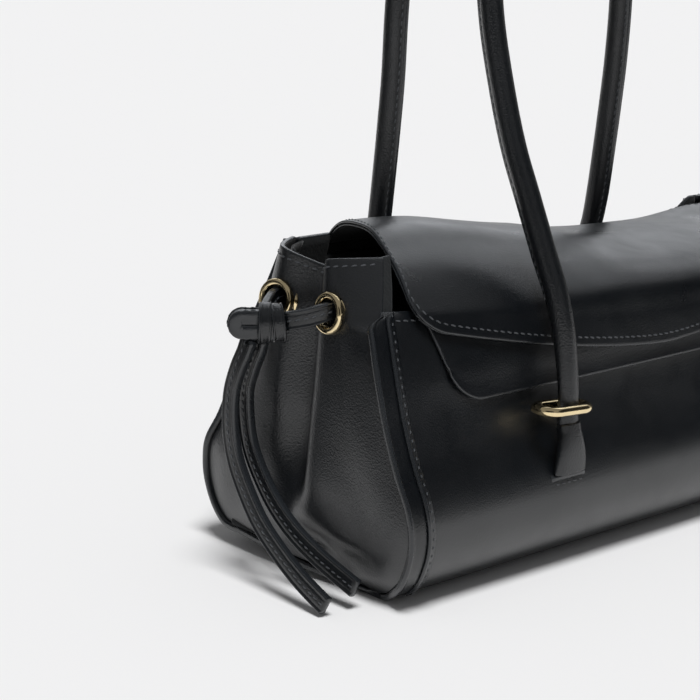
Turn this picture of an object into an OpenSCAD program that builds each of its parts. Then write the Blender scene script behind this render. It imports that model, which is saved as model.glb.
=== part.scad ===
// Baguette shoulder bag with drawn-in end gussets, a saddle flap and two rolled handles.
// Frame: +X runs along the bag, -Y is the front, +Z is up. The origin is the middle of the
// base, on the surface that the bag stands on. All sizes are in millimetres.

/* [Body] */
// Length between the two end seams
body_length = 293; // [263:5:333]
// Height of the gussets' top corners
body_height = 130; // [126:1:134]
// Depth of the front bulge, measured from the middle plane to its end seams
front_depth = 71; // [66:0.5:76]
// Depth of the back bulge, measured in the same way
back_depth = 58; // [55:0.5:64]
// Height of the front hem at its ends
hem_height = 111; // [107:0.5:114]
// How much lower the hem is in the middle
hem_dip = 5; // [2:0.5:8]
// Height of the fold where the flap leaves the back panel
fold_height = 118; // [115:0.5:120]
// Thickness of the body leather with its backing
panel_t = 2.2; // [1.6:0.1:2.6]
// Thickness of the gusset leather
gusset_t = 2; // [1.4:0.1:2.6]
// Width of the flat strip that covers each end seam
strip_w = 6.2; // [5:0.1:8]
// Width of the raised fold along each end of the panel
welt_w = 3; // [2:0.25:4]
// Thickness of that raised fold
welt_t = 1.2; // [0.8:0.1:1.6]
// Height at which the seam strip ends on the front
strip_top = 107; // [100:1:108]

/* [Inside] */
// Thickness of the lining
lining_t = 0.8; // [0.5:0.1:1.2]
// Space between the body leather and the lining, for boards and magnets
wadding = 2.6; // [2.2:0.1:3.2]
// Height of the leather band inside the mouth of the front panel
facing_h = 20; // [14:1:26]
// Thickness of the base board
board_t = 2; // [1.2:0.1:2.2]
// Depth of the base board
board_depth = 66; // [50:1:68]
// Length of the base board
board_l = 204; // [160:2:206]

/* [Flap] */
// Height of the flap's crest at its ends
crest_height = 137; // [133:0.5:142]
// How far the crest sags between its ends
crest_sag = 15; // [8:0.5:16]
// Width of the flap at its fold on the back
flap_back_w = 212; // [190:2:214]
// Width of the flap at its front corners
flap_front_w = 262; // [240:2:268]
// Radius of the flap's front corners
flap_corner_r = 13; // [8:1:18]
// Height of the flap's front edge in the middle
flap_edge_height = 83; // [80:0.5:90]
// How much higher that edge is at the corners
flap_edge_rise = 25; // [18:0.5:27]
// How far the flap's fold sags towards the right
fold_sag = 6; // [0:0.5:7]
// Thickness of the flap's leather
flap_t = 1.4; // [1:0.1:1.8]
// Thickness of the flap's suede lining
flap_lining_t = 0.8; // [0.5:0.1:1.2]
// Depth of the flap's margin sewn to the back panel
flap_seam_h = 12; // [8:0.5:16]

/* [Lower flap] */
// Height of the lower flap's bottom edge
leaf_bottom = 75; // [72:0.5:78]
// Width of the lower flap at its bottom edge
leaf_bottom_w = 232; // [200:2:236]
// Radius of the lower flap's corners
leaf_corner_r = 12; // [6:1:16]
// Width of the lower flap at its top
leaf_top_w = 250; // [238:2:256]
// Thickness of the lower flap
leaf_t = 1.6; // [1.2:0.1:2]
// Diameter of each magnet of the clasp
magnet_d = 14; // [12:0.5:16]
// Thickness of the magnet in the front panel
magnet_t = 1.2; // [0.8:0.1:1.4]
// How far the magnets are above the middle between the lower flap's edge and the hem
magnet_rise = 0; // [-2:0.5:2]

/* [Handles] */
// Distance between the two legs of a handle
leg_spacing = 138; // [110:2:160]
// Height of the handles' highest point, at the middle of the roll
handle_top = 331; // [300:1:360]
// Height at which the arch of a handle begins
arch_start = 214; // [190:1:240]
// Diameter of the rolled handle
roll_d = 9.2; // [8:0.1:10]
// How far the stitched seam stands out from the roll
seam_w = 2.4; // [1.6:0.1:3]
// Thickness of the leather round the roll
roll_wall = 1.1; // [0.8:0.1:1.4]
// Height of the keepers, where the handles hinge
keeper_height = 67; // [64:0.5:70]
// How far the front keepers are set in from the front bulge's depth
front_keeper_in = 1; // [-2:0.5:2]
// How far the back keepers are set out from the back bulge's depth
back_keeper_out = 0; // [-2:0.5:3]
// Width of the strap where it passes through a keeper
neck_w = 10; // [8:0.25:11]
// Thickness of the strap there
neck_t = 6.2; // [5:0.1:7]
// Diameter of a keeper's wire
keeper_wire = 3.6; // [3:0.1:4]
// Outside length of a keeper
keeper_l = 26; // [22:0.5:29]
// Outside depth of a keeper
keeper_depth = 15.4; // [14.2:0.2:17]
// How far the keepers hang outwards from the straps' middles
keeper_shift = 2; // [0:0.25:2.5]
// Height of the slit that a strap's end is sewn into
slit_height = 42; // [39:0.5:44]
// Width of the strap's flat end
tab_w = 17; // [14:0.5:20]
// Thickness of the strap's flat end
tab_t = 3.4; // [2.5:0.1:4.5]

/* [Tie] */
// Width of the tie's strap
tie_w = 7.4; // [6:0.1:8.4]
// Thickness of the tie's strap
tie_t = 3.5; // [2.6:0.1:4]
// Outside diameter of an eyelet
eyelet_d = 16.4; // [15:0.2:18]
// Hole in an eyelet
eyelet_hole = 11; // [9.8:0.2:11.6]
// Height of the eyelets' middles
eyelet_height = 110; // [106:0.5:112]
// Size of the knot along its strap
knot_l = 13; // [10:0.5:16]

/* [Fits] */
// Space between layers that lie on each other
layer_gap = 0.3; // [0.2:0.05:0.4]
// Space between the flap and the panel under it
lift_gap = 0.4; // [0.3:0.05:0.6]
// Space round the eyelets, magnets and necks
fit_gap = 0.25; // [0.15:0.05:0.35]

/* [Hidden] */
$fn = 48;

leather = [0.05, 0.055, 0.06];
leather_edge = [0.1, 0.1, 0.11];
suede = [0.16, 0.16, 0.17];
gold = [0.86, 0.68, 0.36];
steel = [0.7, 0.7, 0.72];
board = [0.5, 0.45, 0.38];

half_length = body_length / 2;

// The body's form at rising heights: height as a share of the body's height, depth in front
// and behind as shares of the two bulges, then in millimetres how far the end seam lies in
// at the front and at the back, how far the gusset crowns out of it there, how deep its
// middle fold is, and how far the front and the back swell out between the ends.
form = [
    [0, 0.65, 0.6, 0, 0, 0, 0, 0, 0, 0],
    [0.023, 0.735, 0.75, 0, 0, 1.5, 1.5, 0, 0.5, 1],
    [0.085, 0.87, 0.87, 0, 0, 3.5, 3.5, 0, 1, 2],
    [0.17, 0.965, 0.965, 0, 0, 4.5, 4.5, 0, 1.5, 3],
    [0.25, 1, 1, 0, 0, 5, 5, 3, 1.5, 3],
    [0.333, 0.955, 0.955, 0, 0, 5, 5, 8, 1.5, 3],
    [0.426, 0.88, 0.86, 0, 2.5, 5, 6, 11, 1.5, 2.5],
    [0.55, 0.795, 0.775, 0, 6, 4.5, 8, 12, 2, 2],
    [0.674, 0.725, 0.7, 0.5, 9.5, 4, 9.5, 13, 4, 1],
    [0.775, 0.65, 0.64, 2.5, 13, 5, 11.5, 13, 5, 0.5],
    [0.86, 0.565, 0.6, 6.5, 17.5, 8, 14.5, 13, 6, 0],
    [1, 0.42, 0.52, 22, 23, 22, 19, 14.5, 4, 0]
];
last_row = len(form) - 1;
// How much lower the gusset's top edge is in its fold
top_dip = 7;
// Middle of the gusset's fold, a little in front of the middle plane
fold_y = -4;
// Half widths of the fold in front of its middle and behind it
fold_w_front = 7.5;
fold_w_back = 9.5;

function mix(a, b, t) = a + (b - a) * t;
function clamp(v, low, high) = max(low, min(high, v));

// Smooth curve through a list of points, at a position counted in points
function along(list, s) =
    let (
        n = len(list) - 1,
        i = clamp(floor(s), 0, n - 1),
        t = s - i,
        a = list[max(i - 1, 0)],
        b = list[i],
        c = list[i + 1],
        d = list[min(i + 2, n)]
    )
    ((2 * b) + (c - a) * t + (2 * a - 5 * b + 4 * c - d) * t * t
        + (3 * b - a - 3 * c + d) * t * t * t) / 2;

function smooth(list, steps) = [
    for (i = [0:(len(list) - 1) * steps]) along(list, i / steps)
];

function row_height(s) = along(form, s)[0] * body_height;
// The row at which the body reaches a height
function row_at(z, low = 0, high = last_row, turns = 24) =
    turns == 0 ? (low + high) / 2
    : let (middle = (low + high) / 2)
        row_height(middle) < z ? row_at(z, middle, high, turns - 1)
        : row_at(z, low, middle, turns - 1);

function swell(share) = 1 - pow(abs(share), 2.5);
function front_y(s, share) =
    -(along(form, s)[1] * front_depth + along(form, s)[8] * swell(share));
function back_y(s, share) = along(form, s)[2] * back_depth + along(form, s)[9] * swell(share);
function seam_x(s, front) = half_length - along(form, s)[front ? 3 : 4];
// The base is flat in the middle and rises behind towards the ends
back_rise = 8;
function rise(s, share, front) =
    front ? 0
    : back_rise * pow(clamp((abs(share) - 0.72) / 0.28, 0, 1), 1.5) * pow(clamp(1 - s / 5, 0, 1), 1.5);

// Outward direction of the grid's surface at one of its points
function grid_normal(g, i, j) =
    let (
        n = len(g) - 1,
        m = len(g[0]) - 1,
        down = g[min(i + 1, n)][j] - g[max(i - 1, 0)][j],
        across = g[i][min(j + 1, m)] - g[i][max(j - 1, 0)],
        c = cross(down, across)
    )
    c / norm(c);

function shifted(g, d) = [
    for (i = [0:len(g) - 1]) for (j = [0:len(g[0]) - 1]) g[i][j] + d * grid_normal(g, i, j)
];

// A sheet of material between two distances from a grid of points
module sheet(g, inner, outer) {
    n = len(g) - 1;
    m = len(g[0]) - 1;
    w = m + 1;
    layer = (n + 1) * w;
    top = [
        for (i = [0:n - 1]) for (j = [0:m - 1]) for (f = [
            [i * w + j, i * w + j + 1, (i + 1) * w + j + 1],
            [i * w + j, (i + 1) * w + j + 1, (i + 1) * w + j]
        ]) f
    ];
    rim = concat(
        [for (j = [0:m - 1]) [j + 1, j]],
        [for (j = [0:m - 1]) [n * w + j, n * w + j + 1]],
        [for (i = [0:n - 1]) [(i + 1) * w + m, i * w + m]],
        [for (i = [0:n - 1]) [i * w, (i + 1) * w]]
    );
    polyhedron(
        points = concat(shifted(g, inner), shifted(g, outer)),
        faces = concat(
            [for (f = top) [f[0] + layer, f[1] + layer, f[2] + layer]],
            [for (f = top) [f[2], f[1], f[0]]],
            [for (e = rim) [e[0] + layer, e[1] + layer, e[1]]],
            [for (e = rim) [e[0] + layer, e[1], e[0]]]
        ),
        convexity = 8
    );
}

// Direction of a route at one of its points
function heading(path, i) =
    let (d = path[min(i + 1, len(path) - 1)] - path[max(i - 1, 0)]) d / norm(d);

// Rings of points round a route; up is the way that a section's second axis faces
function rings(path, sections, up) = [
    for (i = [0:len(path) - 1])
        let (
            t = heading(path, i),
            b0 = up - (up * t) * t,
            b = b0 / norm(b0),
            a = cross(b, t),
            section = sections[i]
        )
        for (p = section) path[i] + a * p[0] + b * p[1]
];

function skin(count, sides, from = 0) = [
    for (i = [0:count - 2]) for (k = [0:sides - 1])
        let (
            a = from + i * sides + k,
            b = from + i * sides + (k + 1) % sides
        )
        for (f = [[a, a + sides, b + sides], [a, b + sides, b]]) f
];

// A solid rod along a route
module rod(path, sections, up) {
    count = len(path);
    sides = len(sections[0]);
    polyhedron(
        points = rings(path, sections, up),
        faces = concat(
            skin(count, sides),
            [[for (k = [0:sides - 1]) k]],
            [[for (k = [0:sides - 1]) count * sides - 1 - k]]
        ),
        convexity = 6
    );
}

// A tube along a route, open at both ends
module tube(path, outer, inner, up) {
    count = len(path);
    sides = len(outer[0]);
    layer = count * sides;
    polyhedron(
        points = concat(rings(path, outer, up), rings(path, inner, up)),
        faces = concat(
            skin(count, sides),
            [for (f = skin(count, sides, layer)) [f[2], f[1], f[0]]],
            [for (k = [0:sides - 1]) let (m = (k + 1) % sides)
                for (f = [[k, m, layer + m], [k, layer + m, layer + k]]) f],
            [for (k = [0:sides - 1]) let (m = (k + 1) % sides, e = (count - 1) * sides)
                for (f = [[e + m, e + k, layer + e + k], [e + m, layer + e + k, layer + e + m]]) f]
        ),
        convexity = 8
    );
}

function oval(a, b, sides = 12, seam = 0) = [
    for (k = [0:sides - 1])
        let (t = 360 * k / sides)
        [a * cos(t), b * sin(t) + (k == sides / 4 ? seam : 0)]
];

// Body

// Shares of the half length at which the panel's columns stand
columns = [-1, -0.885, -0.86, -0.72, -0.4, 0, 0.4, 0.72, 0.86, 0.885, 1];
front_rows = 13;
back_rows = 14;
// Rows lie closer together near the base, where the corner is round
function row_step(k, count, top) = top * pow(k / count, 1.25);
function hem_row(share) = row_at(hem_height - hem_dip * swell(share));
corner_row = row_at(body_height - 2);
// Sag of the fold along the bag, by share of the half length
fold_line = [
    [-0.86, 0], [-0.72, 0.05], [-0.4, 0.3], [0, 0.6], [0.4, 0.85], [0.72, 1], [0.86, 0.8]
];
function fold_at(x) = fold_height - fold_sag * lookup(x / half_length, fold_line);
function back_top_row(share) =
    abs(share) * seam_x(corner_row, false) > flap_back_w / 2 + 4 ? corner_row
    : row_at(fold_at(share * half_length) - layer_gap);

function face_point(s, share, front) = [
    share * seam_x(s, front),
    front ? front_y(s, share) : back_y(s, share),
    row_height(s) + rise(s, share, front)
];

function wrap_grid(shares, front_top, back_top, back_lift) = concat(
    [for (k = [front_rows:-1:0]) [
        for (c = shares) face_point(row_step(k, front_rows, front_top(c)), c, true)
    ]],
    [for (k = [0:back_rows]) [
        for (c = shares)
            face_point(row_step(k, back_rows, back_lift ? back_top_row(c) : back_top), c, false)
    ]]
);

module body_panel() {
    color(leather)
        sheet(wrap_grid(columns, function (c) hem_row(c), 0, true), -panel_t, 0);
}

facing_bottom = hem_height - hem_dip - facing_h;
facing_bottom_row = row_at(facing_bottom);

module front_facing() {
    top_row = function (c) row_at(hem_height - hem_dip * swell(c) - 1);
    grid = [
        for (k = [0:4]) [
            for (c = columns)
                face_point(mix(top_row(c), facing_bottom_row, k / 4), c * 0.985, true)
        ]
    ];
    color(leather) sheet(grid, -panel_t - wadding - lining_t - 0.2, -panel_t - wadding);
}

module body_lining() {
    bottom = row_at(facing_bottom - layer_gap * 2);
    shares = [for (c = [-1, -0.85, -0.5, 0, 0.5, 0.85, 1]) c * 0.985];
    color(suede)
        sheet(wrap_grid(shares, function (c) bottom, row_at(fold_height - fold_sag - 3), false),
            -panel_t - wadding - lining_t, -panel_t - wadding);
}

module base_board() {
    color(board)
        translate([0, 0, panel_t + fit_gap])
            linear_extrude(board_t)
                translate([0, -6]) square([board_l, board_depth], center = true);
}

// A strip that follows the body's outline at one end
function outline_rows(front_top, back_top) = concat(
    [for (k = [front_rows:-1:0]) [row_step(k, front_rows, front_top), true]],
    [for (k = [0:back_rows]) [row_step(k, back_rows, back_top), false]]
);

function end_point(s, front, out) = face_point(s, 1, front) + [out, 0, 0];

module right_seam_strip() {
    grid = [
        for (r = outline_rows(row_at(strip_top), corner_row))
            [for (out = [layer_gap, strip_w]) end_point(r[0], r[1], out)]
    ];
    color(leather) sheet(grid, -panel_t, 0);
}

module left_seam_strip() {
    mirror([1, 0, 0]) right_seam_strip();
}

// The fold stands on the front and the back of the panel and stops short of the base
module right_welt() {
    low = 1;
    for (front = [true, false]) {
        high = front ? row_at(hem_height - 1) : corner_row - 0.1;
        rows = [for (k = [0:11]) mix(low, high, k / 11)];
        ordered = front ? [for (k = [11:-1:0]) rows[k]] : rows;
        grid = [for (s = ordered) [for (out = [-welt_w, -layer_gap]) end_point(s, front, out)]];
        color(leather_edge) sheet(grid, layer_gap * 2.2, welt_t);
    }
}

module left_welt() {
    mirror([1, 0, 0]) right_welt();
}

// Gussets

// The gusset's border lies just inside the seam strip
border_in = panel_t + layer_gap;
border_out = strip_w - 1;

function border(s, front) =
    let (
        p = face_point(s, 1, front),
        q0 = face_point(max(s - 0.05, 0), 1, front),
        q1 = face_point(min(s + 0.05, last_row), 1, front),
        d = [q1[1] - q0[1], q1[2] - q0[2]] / norm([q1[1] - q0[1], q1[2] - q0[2]]),
        inward = s == 0 ? [0, 1] : front ? [d[1], -d[0]] : [-d[1], d[0]]
    )
    [p[0] + border_out, p[1] + inward[0] * border_in, p[2] + inward[1] * border_in];

function fold_shape(y) =
    let (w = y < fold_y ? fold_w_front : fold_w_back) exp(-pow((y - fold_y) / w, 2));

function gusset_point(s, u) =
    let (
        f = border(s, true),
        b = border(s, false),
        p = mix(f, b, (u + 1) / 2),
        row = along(form, s),
        fold = fold_shape(p[1]),
        crown = mix(row[5], row[6], clamp((u + 0.6) / 1.2, 0, 1))
    )
    [
        p[0] + crown * (1 - pow(abs(u), 3)) - row[7] * fold,
        p[1],
        p[2] - top_dip * pow(s / last_row, 6) * fold
    ];

function gusset_grid(rows, across) = [
    for (i = [0:rows])
        let (s = last_row * pow(1 - i / rows, 1.15))
        [for (j = [0:across]) gusset_point(s, 2 * j / across - 1)]
];

// Where an eyelet sits: the point of the gusset at the eyelets' height, at a given y
eyelet_row = row_at(eyelet_height);
function gusset_share(y) =
    let (f = border(eyelet_row, true)[1], b = border(eyelet_row, false)[1])
    2 * (y - f) / (b - f) - 1;
function eyelet_seat(y) = gusset_point(eyelet_row, gusset_share(y));
function eyelet_way(y) =
    let (
        c = cross(
            gusset_point(eyelet_row, gusset_share(y + 7)) - gusset_point(eyelet_row, gusset_share(y - 7)),
            gusset_point(eyelet_row + 0.5, gusset_share(y)) - gusset_point(eyelet_row - 0.5, gusset_share(y))
        )
    )
    c / norm(c);
// How far in front of the middle plane each eyelet sits
eyelet_ys = [-21.5, 11.5];

module at_eyelets() {
    for (y = eyelet_ys)
        let (way = eyelet_way(y))
            translate(eyelet_seat(y)) rotate([0, acos(way[2]), atan2(way[1], way[0])]) children();
}

module right_gusset() {
    color(leather)
        difference() {
            sheet(gusset_grid(14, 20), -gusset_t, 0);
            at_eyelets()
                cylinder(h = 24, d = eyelet_d + 2 * fit_gap, center = true);
        }
}

module left_gusset() {
    mirror([1, 0, 0]) right_gusset();
}

module right_end_lining() {
    color(suede)
        difference() {
            sheet(gusset_grid(10, 16), -gusset_t - wadding - lining_t, -gusset_t - wadding);
            at_eyelets()
                cylinder(h = 30, d = eyelet_d + 2 * fit_gap, center = true);
        }
}

module left_end_lining() {
    mirror([1, 0, 0]) right_end_lining();
}

// Ring with rounded flanges on both faces of the gusset
module eyelet() {
    rim = (eyelet_d - eyelet_hole) / 2;
    rise = gusset_t / 2;
    rotate_extrude()
        translate([eyelet_hole / 2, 0])
            hull() {
                translate([rim / 2, rise]) circle(d = rim, $fn = 24);
                translate([rim / 2, -rise - 1.5]) circle(d = rim, $fn = 24);
            }
}

module right_eyelets() {
    color(gold) at_eyelets() eyelet();
}

module left_eyelets() {
    mirror([1, 0, 0]) right_eyelets();
}

// Flap

axis_y = back_y(row_at(fold_height), 1) + layer_gap / 2 + flap_t;
// Space between the flap and its seam margin, where the flap folds
fold_gap = 1.2;
leaf_in = lift_gap;
flap_in = leaf_in + leaf_t + layer_gap;
flap_out = flap_in + flap_lining_t + layer_gap / 2 + flap_t;

// Sag of the crest along the flap, as a share of the whole sag, from the left to the right
sag_line = [[0], [0.1], [0.4], [0.7], [0.94], [1.02], [1.02], [0.94], [0.6]];
function crest_at(u) = crest_height - crest_sag * along(sag_line, (u + 1) * 4)[0];
// Height of the flap's front edge
function edge_at(u) =
    let (
        across = flap_front_w / 2,
        in_corner = max(0, abs(u) * across - (across - flap_corner_r)) / flap_corner_r,
        corner = flap_corner_r * (1 - sqrt(max(0, 1 - in_corner * in_corner)))
    )
    flap_edge_height + flap_edge_rise * pow(abs(u), 1.5) * 0.9 + corner * 0.8;

// Half width of the flap where it is at a given y
function flap_half(y) =
    mix(flap_back_w, flap_front_w, clamp((axis_y - y) / (axis_y + front_depth * 0.7), 0, 1)) / 2;

// Distance of the front panel from the middle plane at a height, with what lies on it
function front_reach(z, x, out) =
    let (s = row_at(z)) 1.25 * out - front_y(s, clamp(x / seam_x(s, true), -1, 1));

// The flap's outer face across the bag, from its fold to its front edge
function flap_line(u) =
    let (
        h = crest_at(u),
        start = fold_at(u * flap_back_w / 2) + fold_gap,
        edge = edge_at(u),
        x = u * flap_front_w / 2,
        landing = max(hem_height - hem_dip * swell(u) + 1.5, edge + 2),
        reach = front_reach(landing, x, flap_out)
    )
    [
        [axis_y, start],
        [axis_y - 2.5, mix(start, h, 0.32)],
        [axis_y - 8, mix(start, h, 0.64)],
        [axis_y - 18, mix(start, h, 0.9)],
        [axis_y * 0.09, h],
        [-reach * 0.24, h - 0.6],
        [-reach * 0.5, mix(h, landing, 0.25)],
        [-reach * 0.76, mix(h, landing, 0.55)],
        [-reach, landing - 0.5],
        [-front_reach(mix(landing, edge, 0.5), x, flap_out), mix(landing, edge, 0.5)],
        [-front_reach(edge, x, flap_out), edge]
    ];

flap_rows = 15;
flap_shares = [
    for (k = [-9:9]) (k < 0 ? -1 : 1) * (1 - pow(1 - abs(k) / 9, 1.6))
];
flap_grid = [
    for (i = [0:flap_rows]) [
        for (u = flap_shares)
            let (line = flap_line(u), p = along(line, (len(line) - 1) * i / flap_rows))
            [u * flap_half(p[0]), p[0], p[1]]
    ]
];

module flap() {
    color(leather) sheet(flap_grid, -flap_t, 0);
}

module flap_lining() {
    low = -flap_t - layer_gap / 2;
    color(suede)
        sheet([for (i = [1:flap_rows]) flap_grid[i]], low - flap_lining_t, low);
}

// Margin of the flap that is sewn to the back panel
module flap_seam() {
    grid = [
        for (k = [0:3]) [
            for (c = [-1, -0.5, 0, 0.5, 1])
                let (
                    x = -c * flap_back_w / 2,
                    z = fold_at(x) - mix(fold_gap, flap_seam_h, k / 3),
                    s = row_at(z)
                )
                [x, back_y(s, x / seam_x(s, false)), z]
        ]
    ];
    color(leather) sheet(grid, layer_gap / 2, layer_gap / 2 + flap_t);
}

// The leaf's sides run straight to a round corner
function leaf_side(z) =
    mix(leaf_bottom_w, leaf_top_w, clamp((z - leaf_bottom) / (hem_height - leaf_bottom), 0, 1)) / 2;
function leaf_grid() = [
    for (i = [0:5]) [
        for (u = flap_shares)
            let (
                across = leaf_bottom_w / 2,
                in_corner = max(0, abs(u) * across - across + leaf_corner_r) / leaf_corner_r,
                low = leaf_bottom + leaf_corner_r * (1 - sqrt(max(0, 1 - in_corner * in_corner))),
                high = hem_height - hem_dip * swell(u) - 2,
                z = mix(high, low, i / 5),
                s = row_at(z),
                x = u * leaf_side(z)
            )
            [x, front_y(s, x / seam_x(s, true)), z]
    ]
];

// Frame of a disc that lies along the front panel at the magnets' height
magnet_height = mix(leaf_bottom, hem_height - hem_dip, 0.5) + magnet_rise;
magnet_row = row_at(magnet_height);
magnet_y = front_y(magnet_row, 0);
magnet_lean = atan2(
    front_y(magnet_row - 0.3, 0) - front_y(magnet_row + 0.3, 0),
    row_height(magnet_row + 0.3) - row_height(magnet_row - 0.3)
);
module at_magnet(out) {
    translate([0, magnet_y, magnet_height]) rotate([90 + magnet_lean, 0, 0])
        translate([0, 0, out]) children();
}

module lower_flap() {
    color(leather)
        difference() {
            sheet(leaf_grid(), leaf_in, leaf_in + leaf_t);
            at_magnet(-4) cylinder(h = 10, d = magnet_d + 2 * fit_gap);
        }
}

module flap_magnet() {
    color(steel) at_magnet(leaf_in + fit_gap) cylinder(h = leaf_t - fit_gap, d = magnet_d);
}

module front_magnet() {
    color(steel)
        at_magnet(-panel_t - wadding / 2 - magnet_t / 2) cylinder(h = magnet_t, d = magnet_d);
}

// Handles

front_keeper_y = front_depth - front_keeper_in;
back_keeper_y = back_depth + back_keeper_out;

// Lean of each handle towards the middle: height above the keeper, and the share of the
// keeper's distance by which the roll has come in
front_lean = [
    [-6, 0], [9.4, 0.005], [26, 0.035], [43, 0.097], [53, 0.165], [64, 0.23], [75, 0.3],
    [89, 0.395], [105, 0.49], [122, 0.56], [139, 0.625], [156, 0.67], [193, 0.75], [233, 0.8],
    [264, 0.82]
];
back_lean = [
    [-6, 0], [9, 0.02], [21, 0.07], [32, 0.13], [45, 0.205], [66, 0.275], [88, 0.325],
    [108, 0.375], [129, 0.415], [149, 0.435], [193, 0.475], [233, 0.495], [264, 0.5]
];
lean_scale = 264 / (handle_top - keeper_height);

function handle_y(front, z) =
    let (above = (z - keeper_height) * lean_scale)
    front ? -front_keeper_y * (1 - lookup(above, front_lean))
    : back_keeper_y * (1 - lookup(above, back_lean));

neck_below = 6.6;
leg_x = leg_spacing / 2;
leg_heights = [
    -neck_below, -neck_below + 1.4, 0, 9, 20, 32, 45, 60, 80, 100, 122
];
arch_steps = 8;
function half_route(front, side) = concat(
    [for (h = leg_heights)
        let (z = keeper_height + h) [side * leg_x, handle_y(front, z), z]],
    [for (k = [0:arch_steps - 1])
        let (a = 90 * k / arch_steps, z = mix(arch_start, handle_top, sin(a)))
        [side * leg_x * cos(a), handle_y(front, z), z]]
);
function handle_route(front) =
    let (left = half_route(front, -1), right = half_route(front, 1), n = len(right) - 1)
    concat(left, [[0, handle_y(front, handle_top), handle_top]], [for (k = [0:n]) right[n - k]]);

// Half width, half thickness and seam of the roll up one leg
roll_r = roll_d / 2;
neck_form = [
    [neck_w / 2 - 1, neck_t / 2 - 1, 0], [neck_w / 2, neck_t / 2, 0],
    [neck_w / 2, neck_t / 2, 0], [neck_w / 2, neck_t / 2, 0],
    [roll_r + 0.2, roll_r - 0.8, 0], [roll_r, roll_r, seam_w * 0.2], [roll_r, roll_r, seam_w * 0.7]
];
function roll_form(i, count) =
    let (k = min(i, count - 1 - i))
    k < len(neck_form) ? neck_form[k] : [roll_r, roll_r, seam_w];

function shrunk(f, wall) = [max(f[0] - wall, 0.8), max(f[1] - wall, 0.8)];

module handle(front) {
    route = handle_route(front);
    count = len(route);
    outer = [for (i = [0:count - 1]) let (f = roll_form(i, count)) oval(f[0], f[1], 12, f[2])];
    inner = [for (i = [0:count - 1]) let (f = shrunk(roll_form(i, count), roll_wall)) oval(f[0], f[1])];
    color(leather) tube(route, outer, inner, [0, front ? 1 : -1, 0]);
}

module handle_core(front) {
    route = handle_route(front);
    count = len(route);
    inside = [
        for (i = [0:count - 1])
            let (f = shrunk(roll_form(i, count), roll_wall + layer_gap)) oval(f[0], f[1])
    ];
    color(board) rod(route, inside, [0, front ? 1 : -1, 0]);
}

module front_handle() {
    handle(true);
}

module back_handle() {
    handle(false);
}

module front_handle_core() {
    handle_core(true);
}

module back_handle_core() {
    handle_core(false);
}

// Oval ring of round wire
module keeper() {
    r = (keeper_depth - keeper_wire) / 2;
    run = keeper_l - 2 * r - keeper_wire;
    for (side = [-1, 1])
        translate([side * run / 2, 0, 0])
            rotate([0, 0, side * 90 - 180])
                rotate_extrude(angle = 180) translate([r, 0]) circle(d = keeper_wire);
    for (side = [-1, 1])
        translate([-run / 2, side * r, 0]) rotate([0, 90, 0]) cylinder(h = run, d = keeper_wire);
}

function keeper_y(front) = front ? front_keeper_y : back_keeper_y;
// The strap lies against the outer bar of its keeper
keeper_in = keeper_depth / 2 - keeper_wire - fit_gap - neck_t / 2;

module keeper_at(front, side) {
    color(gold)
        translate([
            side * (leg_x + keeper_shift),
            (front ? -1 : 1) * (keeper_y(front) - keeper_in),
            keeper_height
        ])
            keeper();
}

module front_left_keeper() {
    keeper_at(true, -1);
}

module front_right_keeper() {
    keeper_at(true, 1);
}

module back_left_keeper() {
    keeper_at(false, -1);
}

module back_right_keeper() {
    keeper_at(false, 1);
}

// Sewn end of a strap: flat at its slit, rolled where it meets the neck
tab_steps = 5;
function tab_base_y(front) =
    let (s = row_at(slit_height), c = leg_x / half_length)
    front ? front_y(s, c) - layer_gap - tab_t / 2 : back_y(s, c) + layer_gap + tab_t / 2;

module tab(front, side) {
    top = keeper_height - neck_t / 2 - keeper_wire - 3 * fit_gap;
    base_y = tab_base_y(front);
    top_y = front ? -front_keeper_y : back_keeper_y;
    path = [
        for (k = [0:tab_steps])
            let (t = k / tab_steps, bow = sin(180 * t) * (front ? -1.2 : 1.2))
            [side * leg_x, mix(base_y, top_y, t) + bow, mix(slit_height, top, t)]
    ];
    sections = [
        for (k = [0:tab_steps])
            let (t = k / tab_steps, e = t * t)
            oval(mix(tab_w, neck_w, t) / 2, mix(tab_t, neck_t + 1, e) / 2)
    ];
    color(leather) rod(path, sections, [0, front ? -1 : 1, 0]);
}

module front_left_tab() {
    tab(true, -1);
}

module front_right_tab() {
    tab(true, 1);
}

module back_left_tab() {
    tab(false, -1);
}

module back_right_tab() {
    tab(false, 1);
}

// Raised lip under each slit, and the plate behind it that the stitches go through
lip_h = 2.6;
plate_h = 15;
function on_face(front, side, z_low, z_high, width, steps) = [
    for (k = [0:steps]) [
        for (c = front ? [-1, 0, 1] : [1, 0, -1])
            let (
                s = mix(row_at(z_high), row_at(z_low), k / steps),
                x = side * leg_x + c * width / 2,
                share = x / seam_x(s, front)
            )
            [x, front ? front_y(s, share) : back_y(s, share), row_height(s)]
    ]
];

module slit_lips() {
    color(leather_edge)
        for (front = [true, false]) for (side = [-1, 1])
            sheet(on_face(front, side, slit_height - lip_h - 0.4, slit_height - 0.4, tab_w + 2, 2),
                layer_gap / 2, 1.3);
}

module backing_plates() {
    color(board)
        for (front = [true, false]) for (side = [-1, 1])
            sheet(on_face(front, side, slit_height - plate_h / 2, slit_height + plate_h / 2,
                tab_w + 6, 3), -panel_t - wadding / 2 - 0.6, -panel_t - wadding / 2 + 0.6);
}

// Tie

// Flat strap with rounded edges
function strap_section(w, t) = [
    for (p = [[1, 0.5], [0.8, 1], [-0.8, 1], [-1, 0.5], [-1, -0.5], [-0.8, -1], [0.8, -1], [1, -0.5]])
        [p[0] * w / 2, p[1] * t / 2]
];
module strap(route, steps, up, w = tie_w, t = tie_t) {
    path = smooth(route, steps);
    color(leather) rod(path, [for (p = path) strap_section(w, t)], up);
}

knot_at = [170, -4, 105];
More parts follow.
